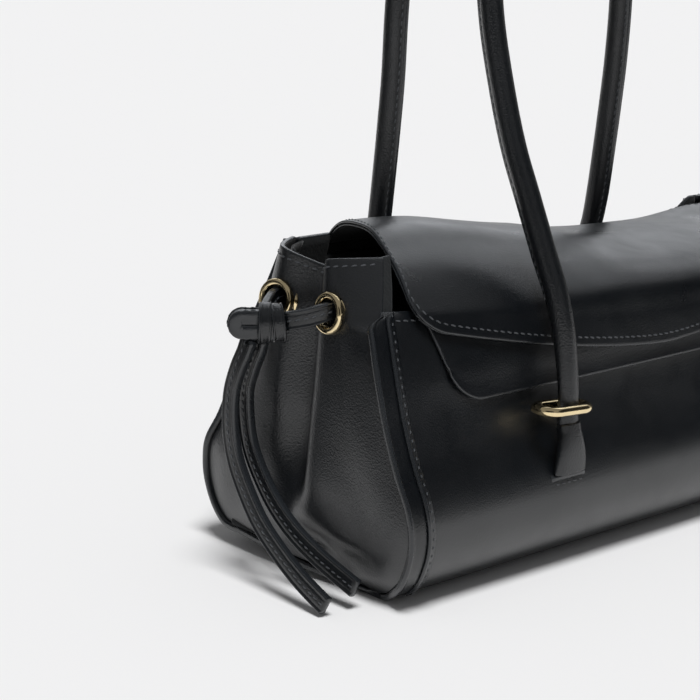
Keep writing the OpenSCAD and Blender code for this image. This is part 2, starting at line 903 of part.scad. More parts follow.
// Route of the tie through the eyelets, from the knot's front to its back
tie_route = [
    [163, -11, 106], [158, -17, 107.5], [151, -21, 109.5], [144, -22, 110], [136, -19, 110],
    [130, -12, 110], [128, -4, 110], [130, 4, 110], [136, 10, 110], [144, 12, 110],
    [150, 11.5, 110], [157, 7, 108.5], [163, 2, 107]
];
// Routes of the two tails, from the knot down to their cut ends
long_tail_route = [
    [173.4, -1.5, 99], [174.2, 0, 94], [175, 4, 86], [175, 8, 76], [175, 9, 63], [174.5, 7, 50],
    [174, 1, 38], [174, -8, 27], [174, -20, 18], [174, -33, 10.5], [174, -47, 4.6]
];
short_tail_route = [
    [169.3, -3.6, 99], [169, -1.5, 94], [168.4, 3.5, 86], [168, 8, 76], [168, 8, 64],
    [167.5, 6, 53], [166.5, 1, 42.5], [165, -6, 32], [163.5, -16, 23], [162, -30, 15.5],
    [161, -49, 9]
];

module right_tie() {
    strap(tie_route, 2, [0, 0, 1], tie_t, tie_w);
}

module left_tie() {
    mirror([1, 0, 0]) right_tie();
}

// Two turns of the strap drawn round its own ends, with the stub of the loop outside
module right_knot() {
    turn_d = tie_w * 1.5;
    color(leather)
        translate(knot_at) rotate([0, 0, 35]) {
            for (k = [-1, 1])
                translate([k * knot_l / 4, 0, 0]) rotate([0, 90, 0])
                    rotate_extrude()
                        translate([turn_d / 2 - tie_t / 2 + 0.2, 0])
                            square([tie_t, knot_l / 2 - 0.4], center = true);
            rotate([0, 90, 0])
                cylinder(h = knot_l + 2 * tie_t, d = turn_d - 2 * tie_t + 1.2, center = true);
        }
}

module left_knot() {
    mirror([1, 0, 0]) right_knot();
}

module right_long_tail() {
    strap(long_tail_route, 1, [1, 0, 0.3]);
}

module right_short_tail() {
    strap(short_tail_route, 1, [1, 0, 0.3]);
}

module left_long_tail() {
    mirror([1, 0, 0]) right_long_tail();
}

module left_short_tail() {
    mirror([1, 0, 0]) right_short_tail();
}

body_panel();
left_gusset();
right_gusset();
left_seam_strip();
right_seam_strip();
left_welt();
right_welt();
front_facing();
body_lining();
left_end_lining();
right_end_lining();
base_board();
front_magnet();
flap_seam();
flap();
flap_lining();
lower_flap();
flap_magnet();
slit_lips();
backing_plates();
front_left_tab();
front_right_tab();
back_left_tab();
back_right_tab();
front_handle();
front_handle_core();
front_left_keeper();
front_right_keeper();
back_handle();
back_handle_core();
back_left_keeper();
back_right_keeper();
left_eyelets();
right_eyelets();
left_tie();
right_tie();
left_knot();
right_knot();
left_long_tail();
left_short_tail();
right_long_tail();
right_short_tail();
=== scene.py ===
import math

import bpy
import numpy as np
from mathutils import Matrix, Vector


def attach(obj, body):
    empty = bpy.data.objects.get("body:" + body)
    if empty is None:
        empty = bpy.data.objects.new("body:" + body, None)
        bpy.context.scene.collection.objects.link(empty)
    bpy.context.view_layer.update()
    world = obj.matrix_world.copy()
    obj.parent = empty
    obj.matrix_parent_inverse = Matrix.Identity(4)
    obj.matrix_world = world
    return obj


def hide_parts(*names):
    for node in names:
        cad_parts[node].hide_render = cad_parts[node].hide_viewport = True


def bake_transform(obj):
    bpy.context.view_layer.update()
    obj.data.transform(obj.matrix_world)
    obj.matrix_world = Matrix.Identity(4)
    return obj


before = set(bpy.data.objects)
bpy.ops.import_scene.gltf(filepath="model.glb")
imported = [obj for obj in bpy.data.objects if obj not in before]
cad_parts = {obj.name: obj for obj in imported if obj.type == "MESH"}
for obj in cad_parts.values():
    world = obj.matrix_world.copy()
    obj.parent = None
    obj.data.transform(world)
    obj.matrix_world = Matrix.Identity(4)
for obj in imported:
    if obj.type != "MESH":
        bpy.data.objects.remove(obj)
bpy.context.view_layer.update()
MM = 0.001
SIDES = ("right", "left")


def link(name, data):
    """A new object in the scene."""
    ob = bpy.data.objects.new(name, data)
    bpy.context.scene.collection.objects.link(ob)
    return ob


# Camera, placed as the photograph's was
EYE = Vector((-600.8, -560.9, 263.3)) * MM
AHEAD = Vector((0.6315, 0.7394, -0.2334)).normalized()
SENSOR_WIDTH, LENS, CLIP_END = 36, 97.7, 100


def set_camera():
    across = AHEAD.cross(Vector((0, 0, 1))).normalized()
    above = across.cross(AHEAD)
    data = bpy.data.cameras.new("camera")
    data.sensor_width = SENSOR_WIDTH
    data.sensor_fit = "AUTO"
    data.lens = LENS
    data.clip_end = CLIP_END
    camera = link("camera", data)
    turn = Matrix((across, above, -AHEAD)).transposed().to_4x4()
    camera.matrix_world = Matrix.Translation(EYE) @ turn
    bpy.context.scene.camera = camera


set_camera()

# Materials


def new_mat(name):
    m = bpy.data.materials.new(name)
    m.use_nodes = True
    n = m.node_tree.nodes
    return m, n, m.node_tree.links, n["Principled BSDF"]


def set_inputs(node, **values):
    """Set a node's inputs. In their names an underscore stands for a space."""
    for name, value in values.items():
        node.inputs[name.replace("_", " ")].default_value = value
    return node


def add(nodes, kind, **values):
    return set_inputs(nodes.new("ShaderNode" + kind), **values)


def on_object(nodes, links, *textures):
    """Lay textures out in the object's own coordinates."""
    co = nodes.new("ShaderNodeTexCoord")
    for t in textures:
        links.new(co.outputs["Object"], t.inputs["Vector"])


def ramp(nodes, links, source, target, *stops):
    """Colour an input by a texture, between two stops of (position, colour)."""
    tone = nodes.new("ShaderNodeValToRGB")
    for k, (position, color) in enumerate(stops):
        tone.color_ramp.elements[k].position = position
        tone.color_ramp.elements[k].color = (*color, 1)
    links.new(source, tone.inputs["Fac"])
    links.new(tone.outputs["Color"], target)


def spread(nodes, links, source, target, span, low, high):
    """Carry a texture's span of values over to an input as low to high."""
    rr = add(nodes, "MapRange", From_Min=span[0], From_Max=span[1], To_Min=low, To_Max=high)
    links.new(source, rr.inputs["Value"])
    links.new(rr.outputs["Result"], target)


def bump(nodes, links, height, strength, distance, under=None):
    """Relief from a texture, on top of the relief under it."""
    b = add(nodes, "Bump", Strength=strength, Distance=distance)
    links.new(height, b.inputs["Height"])
    if under:
        links.new(under, b.inputs["Normal"])
    return b.outputs["Normal"]


def leather(name, color=(0.0042, 0.0052, 0.0066), rough=0.34, grain=0.35, pores=1.0, wear=0.04,
            specular=0.75):
    """Smooth box calf: fine pebble and pores, faint colour drift, softer worn patches."""
    m, n, l, b = new_mat(name)
    pebble = add(n, "TexVoronoi", Scale=1500 * pores)
    fine = add(n, "TexNoise", Scale=1300 * pores, Detail=3)
    soft = add(n, "TexNoise", Scale=16, Detail=3)
    crease = add(n, "TexNoise", Scale=60, Detail=3, Distortion=0.5)
    on_object(n, l, pebble, fine, soft, crease)
    ramp(n, l, soft.outputs["Fac"], b.inputs["Base Color"],
         (0.3, [c * 0.82 for c in color]), (0.75, [c * 1.28 for c in color]))
    spread(n, l, crease.outputs["Fac"], b.inputs["Roughness"], (0.3, 0.75), rough - 0.05, rough + 0.07)
    worn = bump(n, l, crease.outputs["Fac"], wear, 0.00035)
    pored = bump(n, l, fine.outputs["Fac"], grain * 0.55, 0.00018, worn)
    l.new(bump(n, l, pebble.outputs["Distance"], grain, 0.00022, pored), b.inputs["Normal"])
    set_inputs(b, Specular_IOR_Level=specular)
    return m


def suede(name, color):
    """Brushed nap, for the linings, and for the fibre board's dull face."""
    m, n, l, b = new_mat(name)
    nap = add(n, "TexNoise", Scale=900, Detail=5)
    brush = add(n, "TexNoise", Scale=40, Detail=4)
    on_object(n, l, nap, brush)
    ramp(n, l, brush.outputs["Fac"], b.inputs["Base Color"],
         (0.3, [c * 0.7 for c in color]), (0.7, [c * 1.3 for c in color]))
    l.new(bump(n, l, nap.outputs["Fac"], 0.6, 0.0004), b.inputs["Normal"])
    set_inputs(b, Roughness=0.95, Specular_IOR_Level=0.15, Sheen_Weight=0.25, Sheen_Roughness=0.5)
    return m


def metal(name, color, rough):
    """Polished metal with faint drift in its gloss, colour and surface."""
    m, n, l, b = new_mat(name)
    t = add(n, "TexNoise", Scale=260, Detail=6)
    on_object(n, l, t)
    spread(n, l, t.outputs["Fac"], b.inputs["Roughness"], (0.3, 0.7), rough * 0.7, rough * 1.5)
    ramp(n, l, t.outputs["Fac"], b.inputs["Base Color"],
         (0.35, [c * 0.96 for c in color]), (0.65, [min(1, c * 1.03) for c in color]))
    l.new(bump(n, l, t.outputs["Fac"], 0.04, 0.0002), b.inputs["Normal"])
    set_inputs(b, Metallic=1)
    return m


M_BODY = leather("leather_body", rough=0.33, grain=0.22, specular=0.95)
M_END = leather("leather_gusset", rough=0.35, grain=0.42, pores=0.9, wear=0.05, specular=0.95)
M_FLAP = leather("leather_flap", rough=0.32, grain=0.25)
M_TRIM = leather("leather_trim", rough=0.31, grain=0.3)
M_ROLL = leather("leather_roll", rough=0.34, grain=0.5, pores=0.9)
M_EDGE = leather("painted_edge", color=(0.014, 0.016, 0.0185), rough=0.26, grain=0.1, wear=0.1)
M_THREAD = leather("thread", color=(0.055, 0.06, 0.066), rough=0.36, grain=0.5, pores=2.2)
M_SUEDE = suede("suede_lining", (0.012, 0.0135, 0.0145))
M_GOLD = metal("polished_gold", (0.93, 0.76, 0.46), 0.09)
M_STEEL = metal("magnet_steel", (0.62, 0.62, 0.64), 0.3)
M_BOARD = suede("fibre_board", (0.16, 0.13, 0.1))

# The body's form, in mm, as in the CAD, with the bulge's lower half a little rounder
BODY_L, BODY_H, FRONT_D, BACK_D = 293, 130, 71, 58
HALF = BODY_L / 2
HEM_H, HEM_DIP, FOLD_H, FOLD_SAG = 111, 5, 118, 6
PANEL_T, GUSSET_T, STRIP_W, STRIP_TOP = 2.2, 2.0, 6.2, 107
# GAP lies between pieces that meet, LIFT between the front panel and the lower flap
LINING_T, WADDING, GAP, LIFT = 0.8, 2.6, 0.3, 0.4
FLAP_BACK_W, FLAP_FRONT_W, FLAP_T, FLAP_LINING_T = 212, 262, 1.4, 0.8
# Each row is one height of the body's end, from the base up. Its first three values are shares
# of BODY_H, FRONT_D and BACK_D, and the others are in mm.
HEIGHT, FRONT, BACK, FRONT_IN, BACK_IN, FRONT_CROWN, BACK_CROWN, FOLD_IN, FRONT_SWELL, BACK_SWELL = range(10)
FORM = np.array([
    [0, 0.65, 0.6, 0, 0, 0, 0, 0, 0, 0],
    [0.023, 0.755, 0.77, 0, 0, 1.5, 1.5, 0, 0.5, 1],
    [0.085, 0.895, 0.895, 0, 0, 3.5, 3.5, 0, 1, 2],
    [0.17, 0.978, 0.978, 0, 0, 4.5, 4.5, 0, 1.5, 3],
    [0.25, 1, 1, 0, 0, 5, 5, 3, 1.5, 3],
    [0.333, 0.965, 0.965, 0, 0, 5, 5, 8, 1.5, 3],
    [0.426, 0.88, 0.86, 0, 2.5, 5, 6, 11, 1.5, 2.5],
    [0.55, 0.795, 0.775, 0, 6, 4.5, 8, 12, 2, 2],
    [0.674, 0.725, 0.7, 0.5, 9.5, 4, 9.5, 13, 4, 1],
    [0.775, 0.65, 0.64, 2.5, 13, 5, 11.5, 13, 5, 0.5],
    [0.86, 0.565, 0.6, 6.5, 17.5, 8, 14.5, 13, 6, 0],
    [1, 0.42, 0.52, 22, 23, 22, 19, 14.5, 4, 0],
])
LAST = len(FORM) - 1
# Rows stand closer together near the base
ROW_POWER, END_POWER = 1.25, 1.15
# The gusset's fold, and how far the back's top corners rise
TOP_DIP, FOLD_Y, FOLD_WF, FOLD_WB, BACK_RISE = 7, -4, 7.5, 9.5, 8
# The back edge sags towards the right end: place along the bag, share of the sag
FOLD_LINE = np.array([[-0.86, 0], [-0.72, 0.05], [-0.4, 0.3], [0, 0.6], [0.4, 0.85], [0.72, 1],
                      [0.86, 0.8]])
# The front corners of the base are drawn in by this much
TUCK, TUCK_HEIGHT, TUCK_FROM_X = 7.5, 7, 112
# How far the leather has sunk towards the right end, by place along the bag
SINK_X, SINK = [-20, 0, 30, 60, 100, 146], [0, 2, 4.5, 6, 8, 8.5]
SINK_FROM, SINK_OVER, SINK_RIGID_AT = 75, 55, 110.0
RIGID_PIECES = ("eyelet_rings", "knot", "tie")


def mix(a, b, t):
    return a + (b - a) * t


def along(pts, s):
    """Catmull-Rom curve through rows of numbers, at a position counted in rows."""
    pts = np.asarray(pts, float)
    n = len(pts) - 1
    s = np.asarray(s, float)
    i = np.clip(np.floor(s).astype(int), 0, n - 1)
    t = (s - i)[..., None]
    a, b, c, d = pts[np.maximum(i - 1, 0)], pts[i], pts[i + 1], pts[np.minimum(i + 2, n)]
    return ((2 * b) + (c - a) * t + (2 * a - 5 * b + 4 * c - d) * t * t
            + (3 * b - a - 3 * c + d) * t ** 3) / 2


ALL_ROWS = np.linspace(0, LAST, 4401)
ALL_HEIGHTS = along(FORM, ALL_ROWS)[:, HEIGHT] * BODY_H


def row_height(s):
    return np.interp(s, ALL_ROWS, ALL_HEIGHTS)


def row_at(z):
    return np.interp(z, ALL_HEIGHTS, ALL_ROWS)


def swell(c):
    return 1 - np.abs(c) ** 2.5


def panel_y(s, c, front):
    f = along(FORM, s)
    if front:
        return -(f[..., FRONT] * FRONT_D + f[..., FRONT_SWELL] * swell(c))
    return f[..., BACK] * BACK_D + f[..., BACK_SWELL] * swell(c)


def seam_x(s, front):
    return HALF - along(FORM, s)[..., FRONT_IN if front else BACK_IN]


def rise(s, c, front):
    if front:
        return 0 * s
    return (BACK_RISE * np.clip((np.abs(c) - 0.72) / 0.28, 0, 1) ** 1.5
            * np.clip(1 - s / 5, 0, 1) ** 1.5)


def fold_at(x):
    return FOLD_H - FOLD_SAG * np.interp(x / HALF, FOLD_LINE[:, 0], FOLD_LINE[:, 1])


def face_point(s, c, front):
    """A point of the front or back panel, at a row and a share of the way to the end."""
    z = row_height(s) + rise(s, c, front)
    return np.stack(np.broadcast_arrays(c * seam_x(s, front), panel_y(s, c, front), z), -1)


def panel_at(x, z, front):
    """Points of the front or back panel, at places along the bag and heights."""
    s = row_at(z)
    return np.stack([x, panel_y(s, x / seam_x(s, front), front), z], -1)


def tuck(p):
    """The front corners of the base are drawn in a little where the end seam turns under."""
    p = np.array(p, float)
    w = (np.exp(-np.maximum(p[..., 2], 0) / TUCK_HEIGHT) * np.clip((-p[..., 1] - 2) / 34, 0, 1)
         * np.clip((np.abs(p[..., 0]) - TUCK_FROM_X) / 36, 0, 1.1))
    p[..., 0] -= np.sign(p[..., 0]) * TUCK * w
    return p


def ripple(p, size, seed):
    """Soft uneven swelling of leather, in millimetres."""
    x, y, z = p[..., 0], p[..., 1], p[..., 2]
    w = (np.sin(x / 31 + z / 47 + seed) + 0.7 * np.sin(x / 17 - z / 23 + 2.1 * seed + y / 40)
         + 0.5 * np.sin(z / 11 + x / 53 + 3.3 * seed) + 0.35 * np.sin(x / 9.5 + z / 14 + seed * 5))
    return size * w / 2.5


def settle(v, rigid=False):
    """The leather has sunk towards the bag's right end, more at the top; rigid: as one piece."""
    v = np.array(v, float)
    k = np.interp(v[:, 0], SINK_X, SINK)
    z = np.full(len(v), SINK_RIGID_AT) if rigid else v[:, 2]
    v[:, 2] -= k * np.clip((z - SINK_FROM) / SINK_OVER, 0, 1.1) ** 1.3
    return v


# Mesh tools: a part is (vertices, faces, material numbers), in mm

# Steps round the edge of a sheet, and points round a handle or tab
EDGE_STEPS, ROLL_SIDES = 4, 36
# The stretch of the fold over which the flap would bend, from the bag to the flap, given to the flap's
# pieces as their bend
FLAP_BEND = ("flap", (0, 0.037, 0.108), (0, 0.024, 0.124))


def make(name, part, mats, body="bag", replaces=(), slot="leather", bend=None):
    """A piece of the bag, which rides on its body; a piece given a bend stays in place on no body."""
    verts, faces, ids = part
    # the handles' pieces and the tails keep their places
    if body in ("bag", "flap") and "tail" not in name:
        verts = settle(verts, any(w in name for w in RIGID_PIECES))
    me = bpy.data.meshes.new(name)
    me.from_pydata([tuple(v) for v in np.asarray(verts) * MM], [],
                   [tuple(int(i) for i in f) for f in faces])
    for m in mats:
        me.materials.append(m)
    me.polygons.foreach_set("material_index", np.asarray(ids, dtype=np.int32))
    me.polygons.foreach_set("use_smooth", np.ones(len(me.polygons), dtype=bool))
    me.update()
    ob = link(name, me)
    if bend:
        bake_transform(ob)
    else:
        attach(ob, body)
    if replaces:
        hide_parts(*replaces)
    return ob


def mirrored(part):
    v, f, i = part
    v = np.asarray(v, float) * [-1, 1, 1]
    return v, [tuple(q)[::-1] for q in f], list(i)


def make_end(side, name, part, mats, **kw):
    """A piece of the right end, or its mirror image at the left end."""
    return make(f"{side}_{name}", mirrored(part) if side == "left" else part, mats, **kw)


def make_thread(name, part, **kw):
    return make(name, part, [M_THREAD], slot="leather_edge", **kw)


def unit(v):
    return v / np.linalg.norm(v, axis=-1, keepdims=True)


def outward(v):
    """Unit vectors, also where a vector's length is close to nothing."""
    return v / np.maximum(np.linalg.norm(v, axis=-1, keepdims=True), 1e-9)


def normals_of(g):
    """Outward directions of a grid, from its rows (down) and columns (across)."""
    return outward(np.cross(np.gradient(g, axis=0), np.gradient(g, axis=1)))


def lengths(points, axis=0):
    """How far each point of a path, or of a grid's rows or columns, lies from its start."""
    steps = np.linalg.norm(np.diff(points, axis=axis), axis=-1)
    return np.cumsum(np.insert(steps, 0, 0, axis=axis), axis=axis)


def at(s, d, path):
    """Points of a path at the distances s, where d is its lengths."""
    return np.stack([np.interp(s, d, path[:, k]) for k in range(path.shape[1])], -1)


def ring_faces(rings, count, closed=False, open_rings=False):
    """Faces between rings of count points each."""
    faces = []
    for i in range(rings if closed else rings - 1):
        j = (i + 1) % rings
        for q in range(count - 1 if open_rings else count):
            r = (q + 1) % count
            faces.append((i * count + q, i * count + r, j * count + r, j * count + q))
    return faces


def end_caps(rings, count):
    return [tuple(range(count))[::-1], tuple(range((rings - 1) * count, rings * count))]


def sheet_mesh(g, inner, outer, edge, keep=None):
    """Leather between two distances from a grid, with a rounded edge all round.
    keep is a mask of the cells that stay."""
    n, m = g.shape[0] - 1, g.shape[1] - 1
    nn = normals_of(g)
    inner = np.asarray(inner, float) + np.zeros(g.shape[:2])
    outer = np.asarray(outer, float) + np.zeros(g.shape[:2])
    idx = np.arange((n + 1) * (m + 1)).reshape(n + 1, m + 1)
    layer = (n + 1) * (m + 1)
    verts = [(g + nn * inner[..., None]).reshape(-1, 3), (g + nn * outer[..., None]).reshape(-1, 3)]
    cells = np.ones((n, m), bool) if keep is None else keep
    a, b, c, d = idx[:-1, :-1][cells], idx[:-1, 1:][cells], idx[1:, 1:][cells], idx[1:, :-1][cells]
    faces = [np.stack([a + layer, d + layer, c + layer, b + layer], -1), np.stack([a, b, c, d], -1)]
    mats = [np.zeros(len(a), int), np.full(len(a), 2)]
    # the rim, as a closed loop of border points
    loop = ([(0, j) for j in range(m)] + [(i, m) for i in range(n)]
            + [(n, j) for j in range(m, 0, -1)] + [(i, 0) for i in range(n, 0, -1)])
    rim = tuple(np.array(loop).T)
    P, N, lo, hi = g[rim], nn[rim], inner[rim], outer[rim]
    out = outward(np.cross(np.roll(P, -1, 0) - np.roll(P, 1, 0), N))
    inside = np.array([g[min(max(i, 1), n - 1), min(max(j, 1), m - 1)] for i, j in loop])
    flip = np.sign(np.sum(out * (P - inside), 1, keepdims=True))
    flip[flip == 0] = 1
    out *= flip
    rings = [idx[rim] + layer]
    base = 2 * layer
    for k in range(1, EDGE_STEPS):
        t = math.pi * k / EDGE_STEPS
        off = mix(hi, lo, (1 - math.cos(t)) / 2)
        verts.append(P + N * off[:, None] + out * edge * math.sin(t))
        rings.append(np.arange(len(loop)) + base)
        base += len(loop)
    rings.append(idx[rim])
    for r0, r1 in zip(rings[:-1], rings[1:]):
        faces.append(np.stack([r0, np.roll(r0, -1), np.roll(r1, -1), r1], -1))
        mats.append(np.ones(len(loop), int))
    V, F = np.concatenate(verts), np.concatenate(faces)
    used = np.unique(F)
    remap = np.full(len(V), -1)
    remap[used] = np.arange(len(used))
    return V[used], remap[F], np.concatenate(mats)


def sheet(name, g, inner, outer, mats, edge, **kw):
    return make(name, sheet_mesh(g, inner, outer, edge), mats, **kw)


def join_parts(parts):
    """Several parts as one."""
    V, F, I, base = [], [], [], 0
    for v, f, i in parts:
        V.append(np.asarray(v, float))
        F += [tuple(int(k) + base for k in q) for q in f]
        I += list(i)
        base += len(v)
    return np.concatenate(V), F, I


def frames(path, up, closed=False):
    """A path's direction, its sideways direction and its up direction, at each point."""
    path = np.asarray(path, float)
    t = unit(np.roll(path, -1, 0) - np.roll(path, 1, 0) if closed else np.gradient(path, axis=0))
    up = np.asarray(up, float) + np.zeros_like(path)
    b = unit(up - np.sum(up * t, 1, keepdims=True) * t)
    return t, np.cross(b, t), b


def sweep(path, up, sections, ids=None, closed=False, rounding=0.0):
    """A rod along a path. sections is (points, sides, 2): first axis sideways, second along up."""
    path = np.asarray(path, float)
    t, a, b = frames(path, up, closed)
    sections = np.asarray(sections, float)
    if sections.ndim == 2:
        sections = np.repeat(sections[None], len(path), 0)
    pts = (path[:, None] + a[:, None] * sections[..., :1] + b[:, None] * sections[..., 1:])
    if rounding:
        cap0 = path[0] - t[0] * rounding + (pts[0] - path[0]) * 0.72
        cap1 = path[-1] + t[-1] * rounding + (pts[-1] - path[-1]) * 0.72
        pts = np.concatenate([cap0[None], pts, cap1[None]])
    n, k = pts.shape[:2]
    F = ring_faces(n, k, closed)
    I = list(np.zeros(k, int) if ids is None else ids) * (n if closed else n - 1)
    if not closed:
        F += end_caps(n, k)
        I += [1, 1]
    return pts.reshape(-1, 3), F, I


def curve(route, step=None, per=8):
    """A smooth path through a route's points, with points a step apart or per to a stretch."""
    p = along(route, np.linspace(0, len(route) - 1, (len(route) - 1) * per + 1))
    if not step:
        return p
    d = lengths(p)
    return at(np.linspace(0, d[-1], max(2, int(round(d[-1] / step)) + 1)), d, p)


# Distance of the stitches from an edge
STITCH_INSET = 3.0


def stitch_run(path, normals, pitch=3.4, length=2.4, r=0.34, lift=0.12, dip=0.35):
    """A row of thread stitches along a path that lies on the leather."""
    path = np.asarray(path, float)
    d = lengths(path)
    normals = np.asarray(normals, float) + np.zeros_like(path)
    count = max(1, int(d[-1] / pitch))
    V, F, base = [], [], 0
    ring = [(math.cos(a), math.sin(a)) for a in np.linspace(0, 2 * math.pi, 7)[:-1]]
    # place along the stitch, share of its width, height above the leather
    prof = [(-0.5, 0.25, -dip), (-0.4, 0.8, -0.02), (-0.15, 1, lift), (0.15, 1, lift),
            (0.4, 0.8, -0.02), (0.5, 0.25, -dip)]
    faces = ring_faces(len(prof), len(ring))
    for q in range(count):
        mid = (q + 0.5) * d[-1] / count
        for a, wid, h in prof:
            s = np.clip(mid + a * length, 0, d[-1])
            P, N = at(s, d, path), at(s, d, normals)
            N /= np.linalg.norm(N)
            s2 = min(s + 0.3, d[-1])
            T = outward(at(s2, d, path) - at(max(s2 - 0.6, 0), d, path))
            B = np.cross(T, N)
            V += [P + N * (h + r * wid * y) + B * r * wid * x * 1.15 + B * a * 0.25 for x, y in ring]
        F += [tuple(k + base for k in f) for f in faces]
        base += len(prof) * len(ring)
    return np.array(V), F, [0] * len(F)


def surface_line(g, nn, rows, cols):
    """Points and normals of a grid at fractional rows and columns."""
    def pick(a):
        i0 = np.clip(np.floor(rows).astype(int), 0, a.shape[0] - 2)
        j0 = np.clip(np.floor(cols).astype(int), 0, a.shape[1] - 2)
        u, v = (rows - i0)[:, None], (cols - j0)[:, None]
        return (a[i0, j0] * (1 - u) * (1 - v) + a[i0 + 1, j0] * u * (1 - v)
                + a[i0, j0 + 1] * (1 - u) * v + a[i0 + 1, j0 + 1] * u * v)
    return pick(g), pick(nn)


# Tie tails: the cords come first
TIE_W, TIE_T = 7.4, 3.5
TAILS = {
    "long": [
        [173.4, -1.5, 99.0], [174.2, 0, 94], [175, 4, 86], [175, 8, 76], [175, 9, 63], [174.5, 7, 50],
        [174, 1, 38], [174, -8, 27], [174, -20, 18], [174, -33, 10.5], [174, -47, 4.6]],
    "short": [
        [169.3, -3.6, 99.0], [169, -1.5, 94], [168.4, 3.5, 86], [168, 8, 76], [168, 8, 64],
        [167.5, 6, 53], [166.5, 1, 42.5], [165, -6, 32], [163.5, -16, 23], [162, -30, 15.5],
        [161, -49, 9]],
}
# strap section: rounded edges with a crease line inside each, on both faces
STRAP = [(1, 0.25), (0.97, 0.7), (0.9, 0.95), (0.8, 1.0), (0.7, 0.9), (0.62, 0.76), (0.5, 0.84),
         (0.2, 0.9), (0, 0.84), (-0.2, 0.9), (-0.5, 0.84), (-0.62, 0.76), (-0.7, 0.9), (-0.8, 1.0),
         (-0.9, 0.95), (-0.97, 0.7), (-1, 0.25)]
STRAP = np.array(STRAP + [(x, -y) for x, y in STRAP[::-1]])
STRAP_IDS = [1 if abs(x) > 0.85 else 0 for x, y in STRAP]


def strap_stitches(path, way):
    """A row of stitches on each wide face of a strap; way looks out of one of them."""
    return join_parts([stitch_run(path + side * way * (TIE_T / 2 * 0.88), side * way,
                                  pitch=3.2, length=2.2, r=0.3) for side in (1, -1)])


def make_tail(side, kind):
    path = curve(TAILS[kind], 2.0)
    # the strap's wide face looks out of the bag's end
    out = [1, 0, 0.3]
    strap = sweep(path, out, STRAP * [TIE_W / 2, TIE_T / 2], STRAP_IDS, rounding=0.4)
    thread = strap_stitches(path, frames(path, out)[2])
    ob = make_end(side, f"{kind}_tail_strap", strap, [M_TRIM, M_EDGE], replaces=(f"{side}_{kind}_tail",))
    th = make_end(side, f"{kind}_tail_thread", thread, [M_THREAD], slot="leather_edge")
    th.parent = ob
    th.matrix_parent_inverse = ob.matrix_world.inverted()
    if side == "left":
        path = path * [-1, 1, 1]


for side in SIDES:
    for kind in TAILS:
        make_tail(side, kind)

# Body panel: from the front hem, round the base, to the top of the back
COLS = np.unique(np.concatenate([
    -1 + 0.06 * np.linspace(0, 1, 9)[:-1], np.linspace(-0.94, 0.94, 131),
    1 - 0.06 * np.linspace(1, 0, 9)[1:], [-0.8705, -0.8665, 0.8665, 0.8705]]))
CORNER_ROW = float(row_at(BODY_H - 2))
# Beside the flap's sewn edge the back's top steps up to its corner, at the right end as a slope
STEP_GAP, SLOPE_L = 1.2, 14


def back_top_row(c):
    x = np.abs(c) * seam_x(CORNER_ROW, False)
    low = row_at(fold_at(c * HALF) + 1.1)
    slope = np.clip((x - FLAP_BACK_W / 2 - STEP_GAP) / SLOPE_L, 0, 1)
    corner = np.where(c > 0, mix(low, CORNER_ROW, slope ** 0.8), CORNER_ROW)
    return np.where(x > FLAP_BACK_W / 2 + STEP_GAP, corner, low)


def wrap(cols, front_top, back_top, face_rows=64, base_rows=14):
    """A grid over the front, the base and the back, up to a top row on each face."""
    shares = np.linspace(0, 1, face_rows)
    rows = [face_point(front_top * k ** ROW_POWER, cols, True) for k in np.linspace(1, 0, face_rows)]
    a, b = face_point(0 * cols, cols, True), face_point(0 * cols, cols, False)
    rows += [mix(a, b, t) for t in np.linspace(0, 1, base_rows + 2)[1:-1]]
    rows += [face_point(back_top * k ** ROW_POWER, cols, False) for k in shares]
    return np.array(rows)


body_grid = tuck(wrap(COLS, row_at(HEM_H - HEM_DIP * swell(COLS)), back_top_row(COLS)))
body_bump = (ripple(body_grid, 0.28, 1.3) * np.clip(body_grid[..., 2] / 15, 0, 1)
             * np.clip((HALF - np.abs(body_grid[..., 0])) / 25, 0, 1))
sheet("body_panel_leather", body_grid, -PANEL_T, body_bump, [M_BODY, M_EDGE, M_SUEDE], 0.5,
      replaces=("body_panel",))

# End seams: the flat strip and the turned edge, each (out along the bag, off the leather)
STRIP = [(-1.9, -0.4), (-1.9, 0.12), (-1.2, 0.2), (0.6, 0.2), (3.4, 0.12), (4.5, 0.0),
         (4.75, 0.1), (4.9, 0.42), (5.3, 0.72), (5.8, 0.8), (6.3, 0.62), (6.6, 0.15),
         (6.6, -0.8), (6.4, -1.7), (5.9, -2.2), (0.3, -2.2), (0.2, -0.4)]
STRIP_IDS = [0] * 6 + [1] * 7 + [0] * 4
TURNED = [(-6.2, -0.1), (-5.9, 0.45), (-5.2, 0.72), (-4.2, 0.85), (-3.1, 1.15), (-2.5, 1.3),
          (-2.05, 1.15), (-1.8, 0.7), (-1.75, 0.0), (-2.4, -0.4)]
TURNED_IDS = [0] * 4 + [1] * 4 + [0] * 2
BODY_MIDDLE = np.array([0, -6, 60])


def seam_path(front_top, back_top, n=70):
    """The body's end outline, from a row on the front, round the base, to one on the back."""
    fs = front_top * np.linspace(1, 0, n) ** ROW_POWER
    bs = back_top * np.linspace(0, 1, n) ** ROW_POWER
    f, b = face_point(fs, np.ones(n), True), face_point(bs, np.ones(n), False)
    base = np.array([mix(f[-1], b[0], t) for t in np.linspace(0, 1, 12)[1:-1]])
    return tuck(np.concatenate([f, base, b]))


